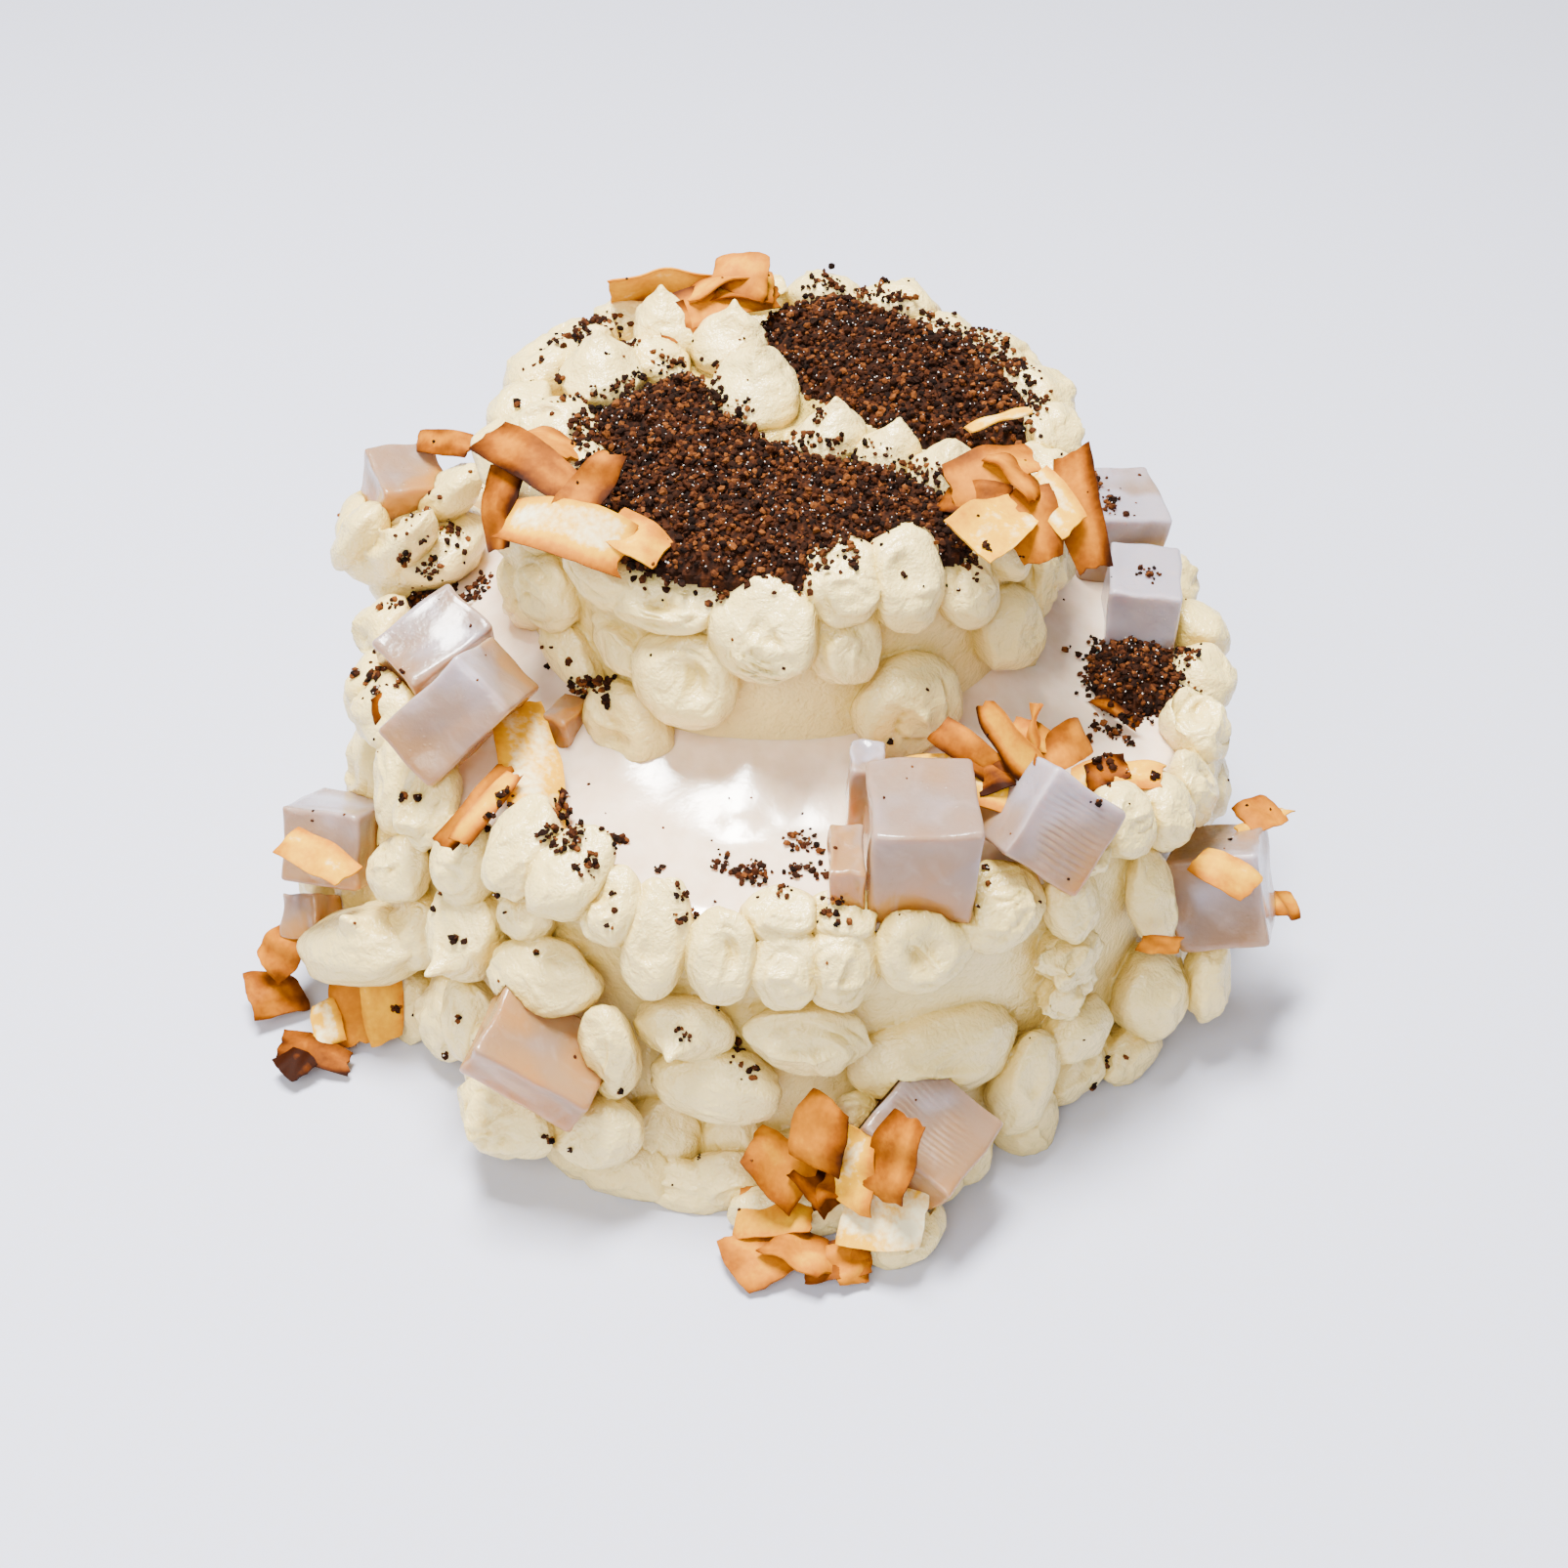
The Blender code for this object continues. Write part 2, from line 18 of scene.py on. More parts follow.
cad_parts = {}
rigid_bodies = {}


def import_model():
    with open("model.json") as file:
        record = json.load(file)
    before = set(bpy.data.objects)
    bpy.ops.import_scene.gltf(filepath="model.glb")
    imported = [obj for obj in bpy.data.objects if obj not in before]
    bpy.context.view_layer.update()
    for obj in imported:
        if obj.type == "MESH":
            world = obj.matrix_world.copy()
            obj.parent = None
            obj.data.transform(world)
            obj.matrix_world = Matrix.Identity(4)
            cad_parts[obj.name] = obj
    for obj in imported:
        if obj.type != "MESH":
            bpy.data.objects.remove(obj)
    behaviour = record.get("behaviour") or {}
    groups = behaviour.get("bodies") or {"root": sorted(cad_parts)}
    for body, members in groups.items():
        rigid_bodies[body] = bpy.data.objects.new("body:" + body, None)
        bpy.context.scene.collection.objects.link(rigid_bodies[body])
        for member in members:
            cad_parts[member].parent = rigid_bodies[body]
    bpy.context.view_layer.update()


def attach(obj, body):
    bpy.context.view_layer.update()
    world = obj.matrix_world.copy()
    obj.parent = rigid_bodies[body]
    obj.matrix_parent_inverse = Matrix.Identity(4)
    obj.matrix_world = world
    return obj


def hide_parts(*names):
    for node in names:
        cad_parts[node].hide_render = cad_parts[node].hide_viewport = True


bl_info = {
    "name": "Two-tier iced cake",
    "version": (1, 0, 0),
    "blender": (4, 5, 0),
    "location": "3D View > Sidebar > Cake",
    "description": "Ices a small two-tier cake and scatters its toppings",
    "category": "Object",
}

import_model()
MM = 0.001
SEED = 11
noise.seed_set(SEED)

# The coat of the two tiers, the outline of each as (radius, height), and how far apart
# and deep the waves of the palette knife lie
LOWER_CENTRE = (0, 0)
LOWER_RADIUS = 63.5
LOWER_TOP = 47
LOWER_OUTLINE = (
    (0, 0), (LOWER_RADIUS, 0), (LOWER_RADIUS + 1, 6), (LOWER_RADIUS, 16),
    (LOWER_RADIUS - 1, 30), (LOWER_RADIUS - 1, 41), (LOWER_RADIUS - 3, 46),
    (LOWER_RADIUS - 7, LOWER_TOP), (25, LOWER_TOP), (0, LOWER_TOP),
)
UPPER_CENTRE = (-2, 8)
UPPER_RADIUS = 38.5
UPPER_BASE = LOWER_TOP + 0.3
UPPER_TOP = 82
UPPER_OUTLINE = (
    (0, UPPER_BASE), (UPPER_RADIUS, UPPER_BASE), (UPPER_RADIUS, 56), (UPPER_RADIUS, 68),
    (UPPER_RADIUS, 77), (UPPER_RADIUS - 2, 81), (UPPER_RADIUS - 6, UPPER_TOP), (0, UPPER_TOP),
)
COAT_STEPS = 200
COAT_SPACING = 1.7
COAT_LUMP = 0.8
COAT_LUMP_SPAN = 22
KNIFE_RUN = 26
KNIFE_PITCH = 3.4
KNIFE_DEPTH = 0.35
FAR = 120
DROP_HEIGHT = 130
FLOOR_HALF = 3000

# How far creases are looked for, to paint shade in them, and which ways: turn and rise of each
# look
CREASE_REACH = 9
CREASE_LOOKS = ((0.3, 0.9), (2.4, 0.9), (4.5, 0.9), (1.4, 0.25), (3.4, 0.25), (5.5, 0.25))

# How each sort of kiss is moulded, in shares of its own half width: the swirl's edge runs
# from the inner to the outer radius, one step down with a groove at its foot, then come a
# hollow, a sharp tip, a cone, wrinkles along the rim, a general lumpiness, and the folds
# that the spatula leaves, by number and height
Mould = namedtuple("Mould", "inner outer step groove hollow tip cone wrinkle lump folds fold")
MOULDS = {
    "plain": Mould(0.45, 0.90, 0.16, 0.10, 0.10, 0.08, 0.00, 0.020, 0.15, 2, 0.13),
    "smooth": Mould(0.70, 0.95, 0.07, 0.04, 0.00, 0.00, 0.00, 0.000, 0.15, 2, 0.09),
    "swirl": Mould(0.25, 0.88, 0.30, 0.17, 0.10, 0.10, 0.00, 0.020, 0.12, 1, 0.10),
    "bowl": Mould(0.60, 0.90, 0.17, 0.10, 0.44, 0.00, 0.00, 0.020, 0.12, 1, 0.14),
    "fold": Mould(0.55, 0.85, 0.25, 0.16, 0.12, 0.00, 0.00, 0.030, 0.16, 3, 0.21),
    "crinkle": Mould(0.60, 0.90, 0.14, 0.10, 0.08, 0.06, 0.00, 0.080, 0.14, 3, 0.13),
    "torn": Mould(0.65, 0.90, 0.18, 0.12, 0.00, 0.00, 0.00, 0.060, 0.32, 3, 0.20),
    "tip": Mould(0.45, 0.88, 0.14, 0.08, 0.00, 0.50, 0.20, 0.015, 0.12, 1, 0.10),
    "cone": Mould(0.50, 0.92, 0.12, 0.08, 0.00, 0.22, 0.42, 0.015, 0.13, 2, 0.10),
}
KISS_DEPTH = 0.86
KISS_FACES = {"front": (52, 38), "back": (30, 22)}
FRONT_ANGLES = (190, 345)
SWIRL_SOFTNESS = 0.04
FOLD_SOFTNESS = 0.03
FOLD_LENGTH = 0.5
HOLLOW_SPAN = 0.46
TIP_SPAN = 0.17
WRINKLE_SPAN = 0.17
SAG = 0.10

# Each kiss: angle, height, reach from the tier's axis, width, length, turn, upward pitch
UPPER_KISSES = (
    (198, 72, 39, 12, 16, 0, 10, "plain"),
    (196, 59, 39, 12, 13, 0, 0, "plain"),
    (207, 78, 38, 13, 12, 20, 35, "plain"),
    (213, 68, 40, 15, 11, 0, 15, "fold"),
    (222, 60, 40, 14, 8, -30, 0, "smooth"),
    (231, 77, 38, 16, 10, -12, 35, "fold"),
    (239, 67, 36, 18, 13, -20, 15, "fold"),
    (239, 54, 41, 15, 12, -25, 0, "bowl"),
    (246, 76, 38, 17, 9, 8, 30, "fold"),
    (251, 65, 40, 16, 15, 0, 10, "bowl"),
    (267, 75, 39, 16, 16, 0, 20, "crinkle"),
    (283, 81, 37, 11, 12, 0, 35, "plain"),
    (283, 73, 39, 11, 14, 0, 10, "swirl"),
    (297, 80, 38, 12, 15, 0, 25, "bowl"),
    (298, 59, 40, 17, 17, 0, 10, "swirl"),
    (312, 76, 38, 11, 14, 0, 25, "swirl"),
    (326, 78, 38, 11, 12, 0, 30, "plain"),
    (325, 64, 40, 12, 16, 35, 5, "smooth"),
    (340, 66, 40, 10, 16, 0, 5, "torn"),
    (337, 56, 39, 9, 13, 0, 0, "plain"),
    (115, 84, 20, 12, 12, 0, 90, "cone"),
    (130, 84, 7, 14, 14, 0, 90, "cone"),
    (321, 83, 8, 12, 11, 0, 90, "cone"),
    (330, 83, 17, 10, 10, 0, 90, "cone"),
    (330, 83, 27, 11, 11, 0, 80, "cone"),
    (330, 82, 35, 10, 10, 0, 65, "plain"),
    (128, 84, 28, 12, 12, 0, 85, "cone"),
    (142, 83, 24, 10, 10, 0, 90, "plain"),
    (162, 84, 28, 14, 12, 0, 85, "cone"),
    (188, 83, 33, 12, 13, 0, 75, "plain"),
    (206, 83, 32, 10, 10, 0, 75, "plain"),
)
LOWER_KISSES = (
    (199, 50, 62, 11, 13, 0, 40, "plain"),
    (207, 44, 63, 10, 17, 25, 25, "plain"),
    (216, 47, 63, 10, 14, 15, 30, "fold"),
    (225, 44, 64, 12, 14, 0, 20, "swirl"),
    (234, 51, 62, 10, 15, 0, 45, "plain"),
    (236, 41, 64, 9, 10, 0, 10, "plain"),
    (242, 51, 62, 11, 14, -15, 45, "smooth"),
    (248, 48, 63, 9, 11, 0, 35, "plain"),
    (254, 45, 63, 10, 17, 0, 25, "smooth"),
    (262, 44, 64, 10, 14, 0, 20, "bowl"),
    (269, 49, 60, 11, 8, 0, 55, "plain"),
    (270, 43, 64, 10, 12, 0, 15, "plain"),
    (277, 49, 60, 10, 8, 0, 55, "plain"),
    (277, 43, 64, 11, 13, 0, 15, "fold"),
    (287, 44, 63, 14, 14, 10, 25, "bowl"),
    (297, 47, 62, 14, 12, 20, 35, "crinkle"),
    (308, 44, 64, 9, 13, 0, 20, "smooth"),
    (311, 51, 61, 9, 11, 0, 45, "plain"),
    (319, 50, 62, 11, 11, 0, 45, "plain"),
    (327, 47, 64, 11, 12, 0, 30, "plain"),
    (335, 45, 65, 9, 12, 0, 20, "plain"),
    (213, 33, 67, 10, 11, 0, 30, "plain"),
    (210, 17.5, 72, 24, 14, 50, 60, "tip"),
    (227, 33, 66, 14, 15, 0, 5, "tip"),
    (221, 9, 66, 12, 14, 0, 10, "plain"),
    (258, 30, 65, 14, 10, 0, 0, "tip"),
    (273, 30, 65, 17, 11, -8, 0, "fold"),
    (262, 21, 66, 19, 11, 0, 0, "smooth"),
    (308, 34, 65, 11, 9, -10, 15, "torn"),
    (309, 26, 65, 11, 8, 0, 5, "torn"),
    (311, 17, 66, 13, 10, 0, 0, "smooth"),
    (323, 35, 66, 8, 17, 0, 15, "smooth"),
    (325, 14, 68, 14, 15, 0, 5, "smooth"),
    (331, 15, 74, 9, 15, -20, 5, "smooth"),
    (337, 23, 70, 12, 14, 0, 10, "plain"),
    (246, 5, 67, 15, 12, 0, 10, "smooth"),
    (255, 6, 65, 12, 14, 0, 10, "smooth"),
    (264, 7, 64, 10, 14, 0, 10, "plain"),
    (272, 5, 66, 14, 11, 0, 10, "plain"),
    (283, 5, 72, 22, 11, 0, 15, "fold"),
    (290, 5, 68, 16, 12, 0, 10, "smooth"),
    (303, 4, 66, 11, 12, 0, 10, "smooth"),
    (313, 6, 64, 16, 12, 0, 10, "plain"),
    (322, 4, 68, 14, 10, 0, 10, "plain"),
    (232, 5, 66, 13, 12, 0, 10, "plain"),
    (212, 4, 67, 14, 11, 0, 10, "plain"),
    (203, 4, 70, 15, 10, 0, 10, "plain"),
    (240, 34, 67, 18, 11, 10, 20, "smooth"),
    (235, 15, 70, 14, 14, -10, 0, "fold"),
    (250, 27, 70, 9, 16, 5, 0, "smooth"),
    (247, 13, 71, 16, 9, 30, -10, "fold"),
    (290, 22.5, 63, 26, 15, 0, 15, "smooth"),
    (302, 13, 67, 11, 18, -10, 0, "smooth"),
    (280, 13, 68, 9, 16, 20, 0, "fold"),
    (272, 3, 73, 20, 9, 0, 20, "plain"),
    (197, 16, 66, 18, 24, 0, 10, "smooth"),
    (193, 12, 74, 11, 16, 0, 5, "smooth"),
    (164, 54, 62, 20, 25, 0, 75, "swirl"),
    (169, 57, 68, 9, 14, 0, 30, "smooth"),
    (170, 58, 61, 10, 15, 0, 40, "fold"),
    (162, 62, 56, 9, 15, 0, 40, "smooth"),
    (239, 13, 76, 16, 14, 0, 20, "fold"),
    (249, 14, 73, 15, 11, 20, 10, "smooth"),
    (245, 4, 69, 13, 10, 0, 10, "smooth"),
    (252, 3, 70, 16, 10, 0, 15, "smooth"),
    (259, 2, 70, 16, 9, 0, 20, "plain"),
    (264, 4, 69, 12, 9, 0, 15, "smooth"),
    (283, 4, 79, 13, 10, 20, 25, "swirl"),
    (214, 22, 66, 12, 13, 0, 10, "plain"),
    (229, 19, 69, 9, 14, 10, 10, "smooth"),
)

# Rows that follow a rule round the back: first angle, last angle, count, height, reach,
# width, length, upward pitch
UPPER_ROWS = (
    (346, 549, 14, 81, 39, 13, 12, 50),
    (352, 540, 8, 66, 39, 15, 15, 5),
)
LOWER_ROWS = (
    (343, 551, 19, 48, 63, 12, 12, 40),
    (350, 549, 9, 31, 64, 18, 15, 5),
    (336, 552, 12, 7, 66, 18, 14, 10),
)
ROW_JITTER = 1.2
ROW_SIZE_JITTER = 0.14
ROW_TURN = 20
ROW_MOULDS = ("plain", "swirl", "bowl", "smooth", "fold", "plain")

# The glaze lies on the ledge between these two radii and climbs a little up the upper tier
GLAZE_RADII = (22, 61.5)
GLAZE_THICK = 0.75
GLAZE_RINGS = 26
GLAZE_STEPS = 180
GLAZE_WAVE = 0.45
GLAZE_RIPPLE = 0.09
BEAD_COUNT = 4
BEAD_HEIGHT = 0.45
BEAD_RADIUS = 1.4
GLAZE_CLIMB = 6.5
GLAZE_SPREAD = 22

# Jelly cubes: node, middle x, y, z, edges a, b, c, then yaw, lean and spin, and how amber;
# right_near's value below zero paints a whitish sheen on it
JELLY_CUBES = (
    ("front_tall", 17.7, -52, 55.5, 14.6, 16, 16, 2, 0, 0, 0.42),
    ("front_low", 7.8, -55, 51.6, 4.8, 10.6, 10.5, 0, 0, 0, 0.75),
    ("front_slab", 10.6, -40.2, 54, 5, 7, 13, 0, 0, 0, 0.5),
    ("front_ridged", 35, -46.4, 55, 13.5, 13, 13.5, 22, -24, 43, 0.45),
    ("left_big", -46.5, -30, 58, 17, 15, 10.5, -13, -26, -51, 0.58),
    ("left_high", -51.8, -12.6, 54.2, 14.5, 13, 11, -13, -66, -54, 0.52),
    ("left_small", -32.2, -25, 51.2, 4.5, 6, 8, -30, 0, 0, 0.95),
    ("cup_left", -33.7, -65.2, 25.6, 18, 8, 13, 60, -61, 75, 0.66),
    ("cup_front", 19.8, -68.2, 13.4, 15.5, 14, 14, 28, -62, 61, 0.52),
    ("cup_right", 65.8, -29.3, 26.8, 13.6, 14.5, 15, -17, -20, -19, 0.42),
    ("side_left", -68, -22, 25.2, 12.5, 13, 12, -18, -27, -6, 0.35),
    ("side_low", -72.3, -28, 14.4, 7, 7, 7, -36, -40, -28, 0.70),
    ("dollop_left", -60.6, 20.4, 60.8, 11, 11, 9, 24, 10, 10, 0.75),
    # A whitish painted sheen stands in for the glare on this cube's top
    ("right_near", 54, 6, 53.5, 11, 14, 12, -6, 0, 0, -0.30),
    ("right_far", 51, 24, 54.5, 13, 14, 14, 12, 4, 8, 0.30),
    ("back_high", 12, 56, 54.5, 15, 14, 14, 30, 0, 0, 0.35),
    ("back_low", -20, 55, 54, 14, 13, 13, -16, 0, 0, 0.35),
    ("back_base", 32, 66, 13, 15, 15, 15, -26, 0, 0, 0.55),
)
JELLY_CUTS = 22
JELLY_GAP = 0.1
JELLY_HOLLOW = 0.35
JELLY_LUMP = 0.55
# How far from the cream the jelly takes painted shade
CREAM_SHADE_REACH = 4
RIDGED_CUBES = {"front_ridged": 70, "cup_front": 70}
RIDGE_PITCH = 0.95
RIDGE_DEPTH = 0.13

# Toasted coconut: both ends x, y, z, width, roll about the length, bow, toast and edge toast
FLAKES = (
    (-43.5, -6.5, 89, -31, -17.5, 87.5, 6.5, 20, 1.2, 0.52, 0.35),
    (-38, -2, 87, -31, -9, 87, 6, -20, 0.8, 0.32, 0.20),
    (-40, -20, 84.5, -23, -26.5, 84.5, 8, 30, 2.6, 0.00, 0.60),
    (-40.5, -11, 87, -41.5, -20, 79, 5.5, 25, 1.4, 0.56, 0.40),
    (-31.5, -22, 85, -25, -15.5, 92, 5.5, 20, 0.6, 0.48, 0.35),
    (-25, -22, 85.5, -18, -27, 84, 6.5, 10, 0.5, 0.20, 0.20),
    (-29, 37, 87, -14, 38, 88.5, 9, -60, 0.8, 0.15, 0.35),
    (-22, 27, 88, -3, 36, 88.5, 6, 25, 2.6, 0.35, 0.55),
    (-17, 30, 90.5, -6, 37, 91.5, 5, -15, 1.4, 0.25, 0.50),
    (-13, 36, 92, -5, 33, 92, 7, 30, 0.9, 0.30, 0.35),
    (-21, 26, 87, -13, 30, 87.5, 6, 40, 1.0, 0.55, 0.35),
    (-16, 33, 89, -4, 35, 90, 7, 5, 1.6, 0.15, 0.50),
    (21, -14, 87.5, 33, -8, 89, 7, 15, 1.2, 0.30, 0.40),
    (20, -14, 85, 29, -17, 87, 5, 30, 0.9, 0.55, 0.50),
    (23, -24, 85, 31, -18, 86.5, 8, 20, 0.8, 0.08, 0.10),
    (31, -15, 88, 34, -23, 81.5, 7.5, 10, 0.7, 0.40, 0.30),
    (38, -7, 89, 41, -22, 80, 6, 35, 1.8, 0.45, 0.40),
    (33, -12, 88.5, 38, -20, 85, 5, 20, 0.5, 0.05, 0.20),
    (27, -9, 90, 33, -17, 88, 5, -20, 1.0, 0.40, 0.45),
    (24, -2, 89, 33, 1, 90.5, 1.8, 0, 0.4, 0.05, 0.10),
    (12, -37, 54.5, 30, -45.5, 59.5, 6.5, 20, 3.0, 0.06, 0.35),
    (20, -37, 63, 28, -42, 60.5, 4.2, 50, 0.8, 0.45, 0.40),
    (26, -36, 66.5, 33, -45, 62, 4.5, 65, 0.8, 0.15, 0.85),
    (33, -36, 67, 33, -44, 61.5, 3.6, 80, 0.5, 0.25, 0.30),
    (35, -42, 62.5, 41, -35, 61, 5.5, 35, 1.0, 0.40, 0.35),
    (25, -44, 59, 34, -42, 60.5, 4, 15, 0.8, 0.60, 0.45),
    (22, -40, 60, 30, -43, 60, 4, 20, 0.8, 0.65, 0.50),
    (30, -38, 63.5, 36, -40, 63, 4, 35, 1.0, 0.20, 0.30),
    (42, -35, 52.5, 48, -32, 53, 4.5, 15, 0.4, 0.70, 0.30),
    (40, -34, 51, 53, -33, 52.5, 6, 5, 0.8, 0.12, 0.25),
    (45, -13, 49.5, 51, -20, 50.5, 1.8, 30, 1.5, 0.55, 0.45),
    (-39, -25, 55.5, -34, -46, 50.5, 8.5, -12, 1.6, 0.03, 0.15),
    (-47, -50, 51, -39, -38, 54.5, 3.5, 45, 0.8, 0.35, 0.60),
    (-45, -50, 51.5, -38, -40, 55.5, 3, 20, 0.6, 0.15, 0.60),
    (-60, -24, 52, -54, -18, 53, 4, 60, 0.5, 0.55, 0.30),
    (-38, -37, 51, -32, -42, 50, 6, 10, 0.5, 0.92, 0.20),
    (6.5, -71, 24, 4.5, -75.5, 15, 8.5, 15, 1.2, 0.34, 0.45),
    (17, -75.5, 26, 13.5, -79.5, 14, 7.5, 8, 0.6, 0.46, 0.25),
    (-4, -71, 15, 3.5, -75.5, 9.5, 8, 10, 0.8, 0.32, 0.35),
    (-6, -75, 4.5, 5, -76, 6, 7.5, 10, 0.9, 0.18, 0.35),
    (-6, -78, 3, 0, -85, 2.5, 8, 10, 0.4, 0.36, 0.30),
    (0, -79, 5, 8, -84, 3.5, 7.5, -15, 0.9, 0.30, 0.45),
    (4, -83, 2.5, 13, -81, 3.5, 5.5, 15, 0.6, 0.50, 0.40),
    (9, -80, 4.5, 11, -85, 2, 5.5, 0, 0.3, 0.30, 0.30),
    (9, -78, 8.5, 20, -80, 10, 9, 30, 1.0, 0.00, 0.06),
    (4, -75, 8.5, 9, -73, 11, 7, -20, 0.6, 0.45, 0.70),
    (11, -73, 20, 10, -79, 11, 6, 30, 0.5, 0.08, 0.30),
    (2, -73, 12, 8, -76, 7, 6, -10, 0.6, 0.60, 0.40),
    (-79, -34, 9, -74, -31, 14, 7, 20, 0.6, 0.42, 0.20),
    (-80.5, -31.5, 6, -76, -37.5, 3, 8, -10, 1.0, 0.50, 0.25),
    (-66, -34, 9, -64, -43, 2.5, 7.5, 15, 0.6, 0.30, 0.30),
    (-61, -36, 10, -60, -43, 3, 6, 0, 0.4, 0.12, 0.20),
    (-76, -43, 2.5, -65, -47, 2.5, 5, 10, 0.8, 0.60, 0.35),
    (-75, -46.5, 3.5, -71, -49.5, 3, 4.6, 10, 0.3, 1.00, 0.10),
    (-70, -37.5, 6, -68, -44, 3, 4.5, 15, 0.5, 0.02, 0.25),
    (-59, 26, 66, -50, 19, 70, 4, 40, 0.8, 0.42, 0.30),
    (-74, -30, 32.5, -64, -36, 31.5, 5.5, 15, 0.6, 0.14, 0.20),
    (60, -34, 37, 68, -38, 35, 5.5, 20, 0.8, 0.15, 0.25),
    (69, -22, 34, 75, -18, 33, 6, 10, 0.6, 0.38, 0.15),
    (68, -24, 33, 77, -17, 32, 2.5, 0, 0.4, 0.08, 0.10),
    (73, -27, 22, 79, -25, 19, 5, 10, 0.4, 0.30, 0.30),
    (51, -46.5, 31.5, 57, -46, 31, 2.6, 60, 0.5, 0.35, 0.20),
    (30, 50, 51.5, 39, 44, 54, 6, 30, 1.0, 0.35, 0.40),
    (-38, 52, 50, -32, 47, 54, 6, 10, 0.8, 0.25, 0.40),
    (-4, 62, 50.5, 4, 57, 53, 6, -15, 0.8, 0.50, 0.40),
    (29, 62, 21.4, 36, 67, 21.6, 6, 5, 0.6, 0.40, 0.35),
)
FLAKE_CUTS = (15, 7, 0)
FLAKE_THICK = 0.42

# Beds of crumbs: node, outline round the bed as x, y pairs, thickness, height of its floor
CRUMB_BEDS = (
    ("top_front", ((-32, 7), (-33, 0), (-31, -7), (-28, -14), (-25, -22), (-21, -30), (-14, -33),
                   (-8, -34), (0, -34), (4, -28), (10, -23), (16, -22), (23, -24), (24, -17),
                   (20, -8), (13, -3), (4, -1), (-4, 3), (-8, 8), (-12, 16), (-17, 22),
                   (-23, 16), (-28, 12)), 3.4, 82),
    ("top_back", ((-6, 30), (-5, 38), (4, 45), (12, 42), (20, 37), (27, 31), (33, 24),
                  (36, 14), (35, 6), (26, 4), (16, 4), (9, 11), (1, 17), (-4, 24)), 3.8, 82),
    ("top_left", ((-40, 18), (-41, 25), (-38, 32), (-32, 38), (-28, 34), (-32, 27),
                  (-35, 20)), 2.4, 82),
    ("ledge_right", ((46, 0), (44, -8), (46, -15), (53, -16), (59, -13), (61, -6), (58, 1),
                     (51, 3)), 4.8, 47.5),
    ("ledge_left", ((-62, 9), (-60, 16), (-52, 16), (-47, 11), (-48, 6), (-56, 3)), 2.6, 47.5),
)
BED_SPACING = 0.7
BED_SLOPE = 3.2
CRUMB_SIZE = (0.45, 1.4)
CRUMB_DENSITY = 3.2
MOST_GRAINS = 9000
GRAIN_SHAPES = 12
CRUMB_SIDES = 1

